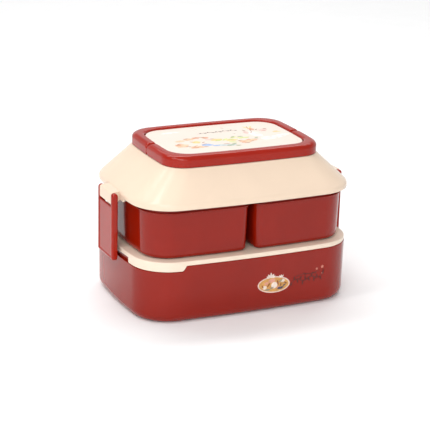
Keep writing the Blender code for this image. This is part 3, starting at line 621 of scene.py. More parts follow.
def inner_lid(side, name, material, rubber):
    path = half_bowed(UPPER_PLAN, SPLIT_HALF_GAP, SPLIT_CORNER)
    low, top = INNER_LOW_Z, INNER_TOP_Z
    plug_outer, plug_inner, plug_low = INNER_PLUG
    lip, lip_top = INNER_LIP
    profile = [
        (9.4, top - 0.5), (9.0, top - 0.46), (8.7, top - 0.25), (8.4, top - 0.04), (8.0, top),
        (3.0, top),
    ]
    profile += arc(0.3 + 0.6, top - 0.6, 0.6, 90, 0, 5)
    profile += [
        (0.3, low + 0.3), (0.39, low + 0.09), (0.6, low), (plug_outer - 0.2, low),
        (plug_outer, low - 0.2), (plug_outer, lip_top + 0.15), (plug_outer - 0.15, lip_top),
        (lip + 0.15, lip_top), (lip, lip_top - 0.15), (lip, plug_low + 0.25),
        (lip + 0.25, plug_low), (plug_inner - 0.25, plug_low), (plug_inner, plug_low + 0.25),
        (plug_inner, low - 0.4), (plug_inner + 0.4, low),
    ]
    lid = lofted(f"cream_inner_lid_{name}", path, profile, side)
    body = f"inner_lid_{name}"
    finish(lid, material, body, "cream_plastic", f"inner_lid_{name}")
    seal(
        f"inner_lid_seal_{name}", path, UPPER_WALL + 0.3, plug_outer - 0.3, lip_top + 0.3,
        low - 0.3, rubber, body, f"inner_seal_{name}", side,
    )
    return lid


# Cover ----------------------------------------------------------------------------------------


def cover(material):
    skirt, crown, pedestal = bowed(COVER_PLAN, 10), bowed(RING_PLAN, 10), bowed(RING_INNER_PLAN, 10)
    half = skirt.length / 2
    start = skirt.reach(-COVER_PLAN[0], APRON_HALF)
    stop = skirt.reach(-COVER_PLAN[0], -APRON_HALF)
    band = banded(start, stop, [
        (-2.2, 0.0), (-1.7, 0.04), (-1.2, 0.16), (-0.8, 0.34), (-0.3, 0.66), (0.1, 0.84),
        (0.6, 0.96), (1.1, 1.0),
    ])
    extra = {x for x, _y in band}
    extra |= {x - half for x in extra}
    columns = skirt.stations({x % skirt.length for x in extra})
    places = [skirt.place(s) for s in columns]
    folded = [s % half for s in columns]
    drops = [APRON_DROP * ramp(band, s + (half if s < start - 20 else 0.0)) for s in folded]

    def at_crown(inset, z):
        return [inward(crown.spot(place), inset, z) for place in places]

    def at_pedestal(inset, z):
        return [inward(pedestal.spot(place), PEDESTAL_GAP + inset, z) for place in places]

    def at_skirt(inset, z):
        return [inward(skirt.spot(place), inset, z) for place in places]

    def hanging(inset, z):
        """A row of the skirt's edge, lowered at the aprons."""
        return [inward(skirt.spot(place), inset, z - drop) for place, drop in zip(places, drops)]

    def slope(share, z):
        """A row between the skirt (0) and the crown (1)."""
        return [p.lerp(q, share) for p, q in zip(at_skirt(0, z), at_crown(-0.6, z))]

    def outside(share):
        return slope(share, SHOULDER_Z + share * (SLOPE_TOP_Z - SHOULDER_Z))

    def inside(share):
        z = SHOULDER_Z + share * (SLOPE_TOP_Z - SHOULDER_Z) - SLOPE_THICKNESS_Z
        return slope(share, z)

    # Outside, from the pedestal's top down to the skirt's edge
    rows = [at_pedestal(0.8, PEDESTAL_TOP_Z)]
    rows += [at_pedestal(*spot) for spot in arc(0.6, PEDESTAL_TOP_Z - 0.6, 0.6, 90, 0, 4)]
    rows += [at_pedestal(0.0, DECK_Z + 0.5), at_pedestal(-0.15, DECK_Z + 0.15)]
    rows += [at_pedestal(-0.4, DECK_Z), at_crown(2.0, DECK_Z), at_crown(0.3, DECK_Z)]
    rows += [at_crown(0.0, DECK_Z - 0.04), at_crown(-0.3, DECK_Z - 0.18)]
    rows += [outside(share) for share in (0.995, 0.96, 0.85, 0.7, 0.55, 0.4, 0.26, 0.15, 0.1)]
    bend = (SLOPE_TOP_Z - SHOULDER_Z) * SHOULDER_SHARE
    for i in range(9):
        t = i / 8
        z = (1 - t) ** 2 * (SHOULDER_Z + bend) + 2 * t * (1 - t) * SHOULDER_Z
        rows.append(slope((1 - t) ** 2 * SHOULDER_SHARE, z + t * t * (SHOULDER_Z - SHOULDER_REACH)))
    low = COVER_LOW_Z
    rows += [at_skirt(0.0, low + 1.3), hanging(0.0, low + 0.5), hanging(0.05, low + 0.25)]
    rows += [hanging(0.18, low + 0.07), hanging(0.45, low), hanging(COVER_WALL - 0.4, low)]
    rows += [hanging(COVER_WALL - 0.1, low + 0.1), hanging(COVER_WALL, low + 0.4)]
    # Inside, with a rib that holds the inner lids down
    rows += [at_skirt(COVER_WALL, low + 1.3), at_skirt(COVER_WALL, SHOULDER_Z - 1.6)]
    rib_low = INNER_TOP_Z + GAP
    rows += [inside(0.11), inside(0.26), at_skirt(7.5, rib_low + 0.2), at_skirt(7.7, rib_low)]
    rows += [at_skirt(8.8, rib_low), at_skirt(9.0, rib_low + 0.2)]
    rows += [inside(0.34), inside(0.6), inside(1.0)]
    under = DECK_Z - COVER_WALL
    slab = PEDESTAL_TOP_Z - PEDESTAL_SLAB
    rows += [at_crown(2.5, under), at_pedestal(COVER_WALL - 0.3, under)]
    rows += [at_pedestal(COVER_WALL, under + 0.3), at_pedestal(COVER_WALL, slab - 0.5)]
    rows += [at_pedestal(COVER_WALL + 0.5, slab)]
    shell = skin("cream_cover", rows)
    start, stop = HANDLE_PIN_X
    for side in (-1, 1):
        combine(shell, lug(side), "UNION")
        bore = latch_bar("lug_bore", side, LATCH_BORE_RADIUS, LATCH_PIN_HALF)
        combine(shell, bore, "DIFFERENCE")
        bore = handle_bar("deck_bore", side, HANDLE_BORE_RADIUS, start - BORE_END_GAP, stop)
        combine(shell, bore, "DIFFERENCE")
    return finish(shell, material, "cover", "cream_plastic", "cover_shell")


def lug(side):
    """The block that a latch hangs on, with rounded edges."""
    outer = LATCH_OUTER_X - 0.2
    centre = Vector((outer - 3.2, (LUG_LOW_Z + LUG_TOP_Z) / 2))
    outline = [
        (outer, LUG_LOW_Z + 1.0), (outer - 0.1, LUG_LOW_Z + 0.55), (outer - 0.35, LUG_LOW_Z + 0.2),
        (outer - 0.8, LUG_LOW_Z), (102.2, LUG_LOW_Z), (101.6, LUG_LOW_Z + 0.35),
        (LUG_ROOT_X, 95.3), (LUG_ROOT_X, SHOULDER_Z + 0.2), (outer - 2.6, LUG_TOP_Z + 0.25),
        (outer - 1.6, LUG_TOP_Z + 0.05), (outer - 0.8, LUG_TOP_Z - 0.35),
        (outer - 0.2, LUG_TOP_Z - 0.95), (outer, LUG_TOP_Z - 1.7),
    ]
    ends = [(LUG_HALF - y, shrink) for y, shrink in ((0.0, 0.6), (0.08, 0.35), (0.25, 0.14), (0.6, 0.0))]
    ends += [(-y, shrink) for y, shrink in reversed(ends)]
    rows = []
    for y, shrink in ends:
        row = []
        for x, z in outline:
            if x > LUG_ROOT_X:
                away = (centre - Vector((x, z))).normalized() * shrink
                x, z = x + away.x, z + away.y
            row.append(Vector((side * x, y, z)))
        rows.append(row)
    return skin("lug", rows)


def top_plate(material):
    edge, low = PEDESTAL_GAP, PEDESTAL_TOP_Z + GAP
    profile = [(edge + 3.0, PLATE_TOP_Z)]
    profile += arc(edge + 0.8, PLATE_TOP_Z - 0.8, 0.8, 90, 0, 6)
    profile += [(edge, low + 0.2), (edge + 0.2, low)]
    plate = lofted("pale_top_plate", bowed(RING_INNER_PLAN), profile)
    return finish(plate, material, "cover", "cream_plastic", "top_plate")


# Ring: rear trim and carrying handle ----------------------------------------------------------


def ring_section():
    """Closed section of the ring, as (inset, height above its underside)."""
    section = arc(0.5, 0.5, 0.5, -90, 0, 3)
    outer, inner = RING_OUTER_ROUND, RING_INNER_ROUND
    section += arc(outer, RING_HEIGHT - outer, outer, 0, 90, 10)
    section += arc(RING_WIDTH - inner, RING_HEIGHT - inner, inner, 90, 180, 6)
    section += arc(RING_WIDTH - 0.4, 0.4, 0.4, 180, 270, 3)
    return section


def ring_rows(stations):
    """Rows of a sweep; a station is (distance, lowest share, highest share, shrink)."""
    outer, inner = bowed(RING_PLAN, 10, 18, 16), bowed(RING_INNER_PLAN)
    section = ring_section()
    rows = []
    for distance, low, high, shrink in stations:
        place = outer.place(distance)
        outside, inside = inward(outer.spot(place), 0, 0), inward(inner.spot(place), 0, 0)
        if abs(outside.x) > RING_INNER_PLAN[0]:
            # Near the hinge line the section stands square across the ring
            side = math.copysign(RING_INNER_PLAN[0], outside.x)
            square = inward(inner.at(inner.reach(side, outside.y)), 0, 0)
            inside = inside.lerp(square, ramp([(12.0, 1.0), (27.0, 0.0)], abs(outside.y)))
        scale = 1 - 2 * shrink / RING_WIDTH
        row = []
        for inset, height in section:
            across = RING_WIDTH / 2 + (inset - RING_WIDTH / 2) * scale
            share = 0.5 + (height / RING_HEIGHT - 0.5) * (1 - 2 * shrink / RING_HEIGHT)
            rise = Vector((0, 0, RING_LOW_Z + RING_HEIGHT * (low + share * (high - low))))
            row.append(outside.lerp(inside, across / RING_WIDTH) + rise)
        rows.append(row)
    return rows


def rear_trim(material):
    path = bowed(RING_PLAN, 10, 18, 16)
    start = path.reach(RING_PLAN[0], TRIM_END_Y)
    stop = path.reach(-RING_PLAN[0], TRIM_END_Y)
    depths = [0.0, 0.05, 0.18, 0.35, 0.6, 0.9, 1.3, 1.8, 2.4, 3.0]

    def station(distance, depth):
        back = TRIM_END_ROUND - min(depth, TRIM_END_ROUND)
        top = TRIM_END_ROUND - math.sqrt(TRIM_END_ROUND**2 - back**2)
        shrink = 0.6 - math.sqrt(max(0.0, 0.36 - (0.6 - min(depth, 0.6)) ** 2))
        return distance, 0.0, 1 - top * 0.93 / RING_HEIGHT, shrink

    stations = [station(start + depth, depth) for depth in depths]
    stations += [(s, 0.0, 1.0, 0.0) for s in path.stations(start=start + 3.3, stop=stop - 3.3)]
    stations += [station(stop - depth, depth) for depth in reversed(depths)]
    trim = skin("red_rear_trim", ring_rows(stations))
    return finish(trim, material, "cover", "deep_red_plastic", "rear_trim")


def carry_handle(material):
    path = bowed(RING_PLAN, 10, 18, 16)
    start = path.reach(-RING_PLAN[0], HANDLE_PIVOT_Y)
    stop = path.reach(RING_PLAN[0], HANDLE_PIVOT_Y) + path.length

    def station(distance, angle):
        """Round about the pivot: the end's height at an angle from its tip."""
        rise = HANDLE_END * math.sin(math.radians(angle)) / RING_HEIGHT
        out = HANDLE_END * math.cos(math.radians(angle))
        shrink = 0.5 * max(0.0, 1 - angle / 30) ** 2
        return distance(out), 0.5 - rise, 0.5 + rise, shrink

    angles = [6, 10, 15, 21, 28, 36, 45, 55, 65, 75, 84]
    stations = [station(lambda out: start - out, angle) for angle in angles]
    stations += [(s, 0.0, 1.0, 0.0) for s in path.stations(start=start, stop=stop)]
    stations += [(stop, 0.0, 1.0, 0.0)]
    stations += [station(lambda out: stop + out, angle) for angle in reversed(angles)]
    handle = skin("red_carry_handle", ring_rows(stations))
    for side in (-1, 1):
        inner, outer = HANDLE_PIN_X
        bore = handle_bar("handle_bore", side, HANDLE_BORE_RADIUS, inner, outer + BORE_END_GAP)
        combine(handle, bore, "DIFFERENCE")
    return finish(handle, material, "carry_handle", "deep_red_plastic", "carry_handle")


# Latches --------------------------------------------------------------------------------------


def foot_round(front, inner, low, radius):
    """The rounded foot of a latch's section, as (x, z) from its front to its inner side."""
    points = []
    for centre_x, first in ((front - radius, 0), (inner + radius, -90)):
        for i in range(6):
            angle = math.radians(first - 90 * i / 5)
            points.append((
                centre_x + radius * math.cos(angle), low + radius + radius * math.sin(angle)
            ))
    return points


def ear_section(outer, shrink):
    """Section of a latch's side rib at one y, as (x, z) from the top's inner side round."""
    radius = LATCH_THICKNESS / 2 - shrink
    points = []
    for i in range(13):
        angle = math.pi * (1 - i / 12)
        reach = radius if math.cos(angle) < 0 else radius - outer * math.cos(angle)
        points.append((
            LATCH_PIVOT_X + reach * math.cos(angle), LATCH_PIVOT_Z + radius * math.sin(angle)
        ))
    front = LATCH_OUTER_X - shrink - outer
    inner = LATCH_INNER_X + shrink
    # As many heights as the plate's section has, so that the rib's sides join it
    downwards = (94.0, 90.0, 89.0, 80.0, 70.0, 60.0, 50.0, 47.0, 46.7, 46.4, 46.1, 45.9)
    upwards = (
        45.7, 46.0, 46.4, 46.9, 47.4, 48.0, 48.6, 49.2, 49.6, 50.0, 52.0, 60.0, 75.0, 88.0, 89.3
    )
    points += [(front, z) for z in downwards]
    points += foot_round(front, inner, LATCH_LOW_Z + shrink, LATCH_FOOT_ROUND - min(shrink, 0.9))
    return points + [(inner, z) for z in upwards]


def plate_section(nose, outer):
    """Section of a latch between its ribs: a thin plate with a foot bar and, behind it, a nose."""
    back, front = LATCH_BACK_X, LATCH_FACE_X
    points = []
    for i in range(13):
        t = i / 12
        edge = min(t, 1 - t) * 12
        drop = 0.6 * max(0.0, 1 - edge / 3) ** 2
        points.append((back + (front - back) * t, LATCH_WINDOW_Z - drop))
    points += [(front, z) for z in (88.6, 88.0, 87.0, 80.0, 70.0, 60.0, 50.0)]
    foot_front = LATCH_OUTER_X - outer
    points += [
        (front, 46.7), (front + 0.02, 46.4), (front + 0.13, 46.12), (front + 0.32, 45.95),
        (foot_front, 45.7),
    ]
    foot = foot_round(foot_front, LATCH_INNER_X, LATCH_LOW_Z, LATCH_FOOT_ROUND)
    points += [(x, min(z, LATCH_FOOT_BACK_Z - 0.1)) for x, z in foot]
    points += [
        (LATCH_INNER_X + 0.12, LATCH_FOOT_BACK_Z), (back - 0.4, LATCH_FOOT_BACK_Z),
        (back - 0.1, 45.1), (back, 45.4),
    ]
    tip, top = LATCH_NOSE_X, LATCH_NOSE_TOP_Z
    bump = [
        (back, 46.08), (tip + 0.5, 48.15), (tip + 0.12, 48.4), (tip, 48.8), (tip + 0.1, 49.4),
        (tip + 0.5, top), (back - 0.3, top),
    ]
    for (x, z), flat_z in zip(bump, (46.1, 46.9, 47.6, 48.3, 49.0, 49.5, top)):
        points.append((x * nose + back * (1 - nose), z * nose + flat_z * (1 - nose)))
    return points + [(back, z) for z in (50.1, 60.0, 75.0, 88.0)]


def latch(side, name, material):
    sections = []
    for angle in range(0, 91, 15):
        t = math.radians(angle)
        y = LATCH_HALF - LATCH_EDGE + LATCH_EDGE * math.cos(t)
        sections.append((y, ear_section(0.0, LATCH_EDGE * (1 - math.sin(t)))))
    inner = LATCH_WINDOW_HALF
    for reach, outer in ((1.0, 0.0), (0.7, 0.03), (0.45, 0.09), (0.2, 0.22), (0.05, 0.4), (0.0, 0.5)):
        sections.append((inner + reach, ear_section(outer, 0.0)))
    for depth, outer in ((0.02, 0.42), (0.3, 0.2), (0.8, 0.05), (1.4, 0.0)):
        sections.append((inner - depth, plate_section(0.0, outer)))
    for depth, nose in ((-0.02, 0.0), (0.0, 0.9), (0.3, 1.0)):
        sections.append((LATCH_NOSE_HALF - depth, plate_section(nose, 0.0)))
    sections += [(y, plate_section(1.0, 0.0)) for y in (8.0, 5.0, 2.0)]
    sections += [(-y, section) for y, section in reversed(sections)]
    rows = [[Vector((side * x, y, z)) for x, z in section] for y, section in sections]
    made = skin(f"red_latch_{name}", rows)
    bore = latch_bar("latch_bore", side, LATCH_BORE_RADIUS, LATCH_PIN_HALF + BORE_END_GAP)
    combine(made, bore, "DIFFERENCE")
    return finish(made, material, f"latch_{name}", "deep_red_plastic", f"latch_{name}")


def pins(side, name, material):
    pin = handle_bar(f"steel_handle_pin_{name}", side, HANDLE_PIN_RADIUS, *HANDLE_PIN_X, 0.25)
    finish(pin, material, "cover", "steel", f"handle_pin_{name}")
    pin = latch_bar(f"steel_latch_pin_{name}", side, LATCH_PIN_RADIUS, LATCH_PIN_HALF, 0.3)
    finish(pin, material, "cover", "steel", f"latch_pin_{name}")


# Materials ------------------------------------------------------------------------------------


def blank(name, colour):
    """A new material, its nodes, links and shader, and the piece's own coordinates."""
    material = bpy.data.materials.new(name)
    material.use_nodes = True
    material.diffuse_color = (*colour, 1.0)
    tree = material.node_tree
    place = tree.nodes.new("ShaderNodeTexCoord").outputs["Object"]
    return material, tree.nodes, tree.links, tree.nodes["Principled BSDF"], place


def add(nodes, kind, **values):
    """A node with its sockets set by name."""
    node = nodes.new(kind)
    for key, value in values.items():
        node.inputs[key.replace("_", " ")].default_value = value
    return node


def noise(nodes, links, place, **values):
    node = add(nodes, "ShaderNodeTexNoise", **values)
    links.new(place, node.inputs["Vector"])
    return node.outputs["Fac"]


def stretched(nodes, links, place, **values):
    node = add(nodes, "ShaderNodeMapping", **values)
    links.new(place, node.inputs["Vector"])
    return node.outputs["Vector"]


def spread(nodes, links, source, low, high):
    """Maps a 0.3 to 0.7 noise onto low to high."""
    node = add(nodes, "ShaderNodeMapRange", From_Min=0.3, From_Max=0.7, To_Min=low, To_Max=high)
    links.new(source, node.inputs["Value"])
    return node.outputs["Result"]


def toned(nodes, links, source, colour, shades, ends=(0.0, 1.0)):
    """A colour between two shades of it, from one end of a noise's range to the other."""
    node = nodes.new("ShaderNodeValToRGB")
    for element, shade, end in zip(node.color_ramp.elements, shades, ends):
        element.position = end
        element.color = (*(min(1.0, c * shade) for c in colour), 1.0)
    links.new(source, node.inputs["Fac"])
    return node.outputs["Color"]


def bumped(nodes, links, source, strength, distance):
    node = add(nodes, "ShaderNodeBump", Strength=strength, Distance=distance)
    links.new(source, node.inputs["Height"])
    return node


def moulded(name, colour, roughness, tint=0.06, waviness=0.35, grain=0.1, flow_scale=22.0):
    """Moulded plastic: slight flow marks in its colour, fine scuffs in its gloss, a faint ripple."""
    material, nodes, links, shader, place = blank(name, colour)
    flow = noise(nodes, links, place, Scale=flow_scale, Detail=3.0, Roughness=0.55, Distortion=0.6)
    tone = toned(nodes, links, flow, colour, (1 - tint, 1 + tint), (0.32, 0.68))
    links.new(tone, shader.inputs["Base Color"])

    rubbed = stretched(nodes, links, place, Scale=(0.25, 0.25, 1.6), Rotation=(0.3, 0.5, 0.2))
    scuffs = noise(nodes, links, rubbed, Scale=900.0, Detail=2.0, Roughness=0.6)
    cloud = noise(nodes, links, place, Scale=45.0, Detail=2.0, Roughness=0.5)
    gloss = nodes.new("ShaderNodeMath")
    gloss.operation = "ADD"
    fine_gloss = spread(nodes, links, scuffs, roughness - 0.015, roughness + 0.015)
    links.new(fine_gloss, gloss.inputs[0])
    links.new(spread(nodes, links, cloud, -0.02, 0.03), gloss.inputs[1])
    links.new(gloss.outputs["Value"], shader.inputs["Roughness"])

    ripple = noise(nodes, links, place, Scale=60.0, Detail=1.0, Roughness=0.4)
    fine = noise(nodes, links, place, Scale=1600.0, Detail=2.0, Roughness=0.5)
    slow = bumped(nodes, links, ripple, waviness, 0.0002)
    quick = bumped(nodes, links, fine, grain, 0.00002)
    links.new(slow.outputs["Normal"], quick.inputs["Normal"])
    links.new(quick.outputs["Normal"], shader.inputs["Normal"])
    shader.inputs["IOR"].default_value = 1.38
    return material


def brushed_steel(name, colour):
    """Drawn steel with fine lines along and round the pin."""
    material, nodes, links, shader, place = blank(name, colour)
    drawn = stretched(nodes, links, place, Scale=(1.0, 0.15, 1.0))
    lines = noise(nodes, links, drawn, Scale=2400.0, Detail=3.0, Roughness=0.6)
    links.new(toned(nodes, links, lines, colour, (0.85, 1.1)), shader.inputs["Base Color"])
    links.new(spread(nodes, links, lines, 0.25, 0.45), shader.inputs["Roughness"])
    bump = bumped(nodes, links, lines, 0.2, 0.00002)
    links.new(bump.outputs["Normal"], shader.inputs["Normal"])
    shader.inputs["Metallic"].default_value = 1.0
    return material


# Printed motifs -------------------------------------------------------------------------------


def turned(x, y, u, v, angle):
    """The spot (x, y), moved by (u, v) turned by an angle."""
    cos, sin = math.cos(angle), math.sin(angle)
    return x + u * cos - v * sin, y + u * sin + v * cos


class Print:
    """Thin shapes of ink lying on a surface, gathered into one piece."""

    def __init__(self, surface, height):
        self.surface = surface
        self.height = height
        self.count = 0
        self.points = []
        self.faces = []

    def top(self):
        """The next shape's height: each lies a little above the one before it."""
        self.count += 1
        return self.height + INK_STEP * self.count

    def patch(self, centre, outline, rings=3):
        """A shape whose outline can be seen whole from its centre."""
        count = len(outline)
        base = len(self.points)
        cx, cy = centre
        shares = [i / rings for i in range(1, rings + 1)]
        top = self.top()
        layers = [(top, share) for share in shares]
        layers += [(INK_LOW, share) for share in reversed(shares)]
        self.points.append(self.surface(cx, cy, top))
        for height, share in layers:
            for x, y in outline:
                self.points.append(self.surface(cx + (x - cx) * share, cy + (y - cy) * share, height))
        self.points.append(self.surface(cx, cy, INK_LOW))
        last = len(self.points) - 1
        for j in range(count):
            k = (j + 1) % count
            self.faces.append((base, base + 1 + j, base + 1 + k))
            for i in range(len(layers) - 1):
                low, high = base + 1 + i * count, base + 1 + (i + 1) * count
                self.faces.append((low + j, high + j, high + k, low + k))
            end = last - count
            self.faces.append((end + j, last, end + k))

    def disc(self, x, y, rx, ry, turn=0.0, lobes=0, depth=0.0, steps=30):
        """An ellipse, its edge scalloped into lobes of a depth from 0 to 1."""
        outline = []
        for i in range(steps):
            t = 2 * math.pi * i / steps
            reach = 1.0 - depth * (0.5 - 0.5 * math.cos(lobes * t))
            u, v = rx * reach * math.cos(t), ry * reach * math.sin(t)
            outline.append(turned(x, y, u, v, math.radians(turn)))
        self.patch((x, y), outline)

    def discs(self, *rows):
        for row in rows:
            self.disc(*row)

    def leaf(self, x, y, length, width, turn):
        """A pointed leaf from its foot at (x, y)."""
        turn = math.radians(turn)
        outline = []
        for side in (1, -1):
            for i in range(9):
                t = i / 9 if side > 0 else 1 - i / 9
                v = side * width / 2 * math.sin(math.pi * t ** 0.85) ** 0.9 if t else 0.0
                outline.append(turned(x, y, length * t, v, turn))
        self.patch(turned(x, y, length * 0.5, 0.0, turn), outline, 2)

    def leaves(self, width, *rows):
        for x, y, length, turn in rows:
            self.leaf(x, y, length, width, turn)

    def stem(self, spots, width):
        """A line of ink through spots, smoothed, thinner at both ends."""
        ends = [spots[0], *spots, spots[-1]]
        line = []
        for i in range(1, len(ends) - 2):
            a, b, c, d = (Vector(p) for p in ends[i - 1:i + 3])
            for t in (k / 6 for k in range(6)):
                line.append(0.5 * (
                    2 * b + (c - a) * t + (2 * a - 5 * b + 4 * c - d) * t**2
                    + (3 * b - a - 3 * c + d) * t**3
                ))
        line.append(Vector(spots[-1]))
        base = len(self.points)
        top = self.top()
        for i, spot in enumerate(line):
            along = (line[min(i + 1, len(line) - 1)] - line[max(i - 1, 0)]).normalized()
            share = i / (len(line) - 1)
            half = width / 2 * (0.35 + 0.65 * math.sin(math.pi * share))
            away = Vector((-along.y, along.x)) * half
            for edge, height in ((away, top), (-away, top), (-away, INK_LOW), (away, INK_LOW)):
                self.points.append(self.surface(spot.x + edge.x, spot.y + edge.y, height))
        for i in range(len(line) - 1):
            low, high = base + 4 * i, base + 4 * i + 4
            for j in range(4):
                k = (j + 1) % 4
                self.faces.append((low + j, low + k, high + k, high + j))
        end = base + 4 * (len(line) - 1)
        self.faces.append((base + 3, base + 2, base + 1, base))
        self.faces.append((end, end + 1, end + 2, end + 3))

    def piece(self, name, material, body, slot):
        made = object_of(name, [point * MM for point in self.points], self.faces)
        bm = bmesh.new()
        bm.from_mesh(made.data)
        bmesh.ops.recalc_face_normals(bm, faces=bm.faces)
        bm.to_mesh(made.data)
        bm.free()
        return finish(made, material, body, slot)


def ink(name, colour):
    """Printing ink: satin, with a fine mottle."""
    return moulded(name, colour, 0.3, tint=0.16, waviness=0.1, grain=0.2, flow_scale=260.0)


def front_print():
    """A fruit badge, a creeping vine and three small blossoms on the lower box's front."""
    path = bowed(BOX_PLAN)

    def wall(x, z, height):
        return inward(path.at(path.reach(x, -BOX_PLAN[1])), box_inset(z) - height, z)

    x, z, tilt = 18.4, 23.9, -3.0
    rim = Print(wall, 0.04)
    rim.disc(x, z, 15.2, 7.3, tilt, steps=64)
    rim.piece("ink_badge_rim", ink("ink_shell", (0.76, 0.56, 0.49)), "lower_box", "pale_cream_plastic")
    field = Print(wall, 0.055)
    field.disc(x, z, 14.1, 6.3, tilt, steps=64)
    field.piece("ink_badge_field", ink("ink_ochre", (0.62, 0.32, 0.09)), "lower_box", "cream_plastic")

    pale = Print(wall, 0.07)
    pale.disc(x + 0.4, z - 0.6, 2.9, 2.9)
    pale.disc(x - 8.6, z - 1.8, 1.9, 1.7)
    pale.disc(x + 8.3, z + 2.6, 2.0, 1.5)
    for i in range(5):
        pale.leaf(x - 4.4 + 0.7 * i, z + 6.2, 3.2 + 0.9 * (2 - abs(i - 2)), 1.9, 148 - 29 * i)
    for i in range(3):
        pale.leaf(x + 6.4 + 0.5 * i, z + 5.6, 2.6, 1.2, 124 - 34 * i)
    pale.piece("ink_badge_pale", ink("ink_pale", (0.78, 0.66, 0.58)), "lower_box", "pale_cream_plastic")
    warm = Print(wall, 0.08)
    warm.disc(x - 2.0, z + 3.7, 3.4, 1.7, 8)
    warm.disc(x - 7.2, z + 1.7, 2.2, 1.5, 20, 5, 0.3)
    warm.disc(x + 5.0, z - 3.4, 2.3, 1.3, -12)
    warm.piece("ink_badge_blush", ink("ink_blush", (0.66, 0.30, 0.22)), "lower_box", "pale_cream_plastic")
    brown = Print(wall, 0.09)
    brown.leaf(x - 3.6, z + 1.8, 4.6, 1.5, 232)
    brown.leaf(x + 3.0, z + 3.6, 5.0, 1.6, 285)
    brown.leaf(x - 11.4, z + 0.8, 3.6, 1.2, 300)
    brown.leaf(x + 7.0, z + 0.6, 3.2, 1.1, 250)
    brown.leaf(x + 9.6, z + 1.2, 3.4, 1.2, 330)
    brown.piece("ink_badge_russet", ink("ink_russet", (0.28, 0.075, 0.018)), "lower_box", "red_plastic")
    cool = Print(wall, 0.1)
    cool.leaf(x + 4.2, z - 4.4, 5.6, 2.2, 14)
    cool.leaf(x + 8.4, z - 2.4, 3.6, 1.3, 30)
    cool.disc(x + 5.2, z - 3.8, 1.7, 1.1, 10)
    cool.piece("ink_badge_slate", ink("ink_slate", (0.075, 0.065, 0.10)), "lower_box", "red_plastic")
    moss = Print(wall, 0.1)
    moss.leaf(x - 8.6, z - 4.3, 5.6, 1.6, 4)
    moss.leaf(x - 3.6, z - 3.6, 4.0, 1.3, 20)
    moss.leaf(x + 4.8, z + 1.2, 4.4, 1.5, 40)
    moss.piece("ink_badge_moss", ink("ink_moss", (0.30, 0.27, 0.20)), "lower_box", "cream_plastic")

    vine = Print(wall, 0.035)
    vine.stem([(34.6, 22.6), (40.5, 26.0), (47.0, 23.4), (54.0, 26.6), (60.5, 24.4), (67.0, 27.8)], 0.9)
    vine.stem([(40.0, 28.4), (47.0, 29.6), (54.5, 29.0), (62.0, 30.6)], 0.6)
    for i, (u, v, turn) in enumerate((
        (35.6, 23.2, 250), (37.6, 24.8, 80), (40.5, 26.0, 285), (43.2, 25.0, 60), (46.4, 23.5, 262),
        (48.6, 23.8, 95), (51.6, 25.6, 290), (54.2, 26.6, 68), (57.4, 25.6, 268), (60.0, 24.5, 92),
        (62.8, 25.4, 300), (65.4, 27.0, 75),
    )):
        vine.leaf(u, v, 3.6 + 0.5 * (i % 3), 1.5, turn)
    vine.leaves(
        0.9, (41.5, 28.8, 2.4, 200), (46.0, 29.5, 2.4, 30), (50.0, 29.4, 2.4, 205),
        (55.5, 29.0, 2.4, 25), (59.5, 29.9, 2.4, 210),
    )
    vine.piece("ink_vine", ink("ink_shadow_red", (0.085, 0.008, 0.005)), "lower_box", "red_plastic")
    bloom = Print(wall, 0.035)
    for u, v, reach in ((59.6, 32.4, 1.15), (65.0, 33.6, 1.5), (65.2, 27.9, 0.8)):
        bloom.disc(u, v, reach, reach, 18, 5, 0.45)
    bloom.piece("ink_blossoms", ink("ink_petal", (0.62, 0.22, 0.16)), "lower_box", "pale_cream_plastic")


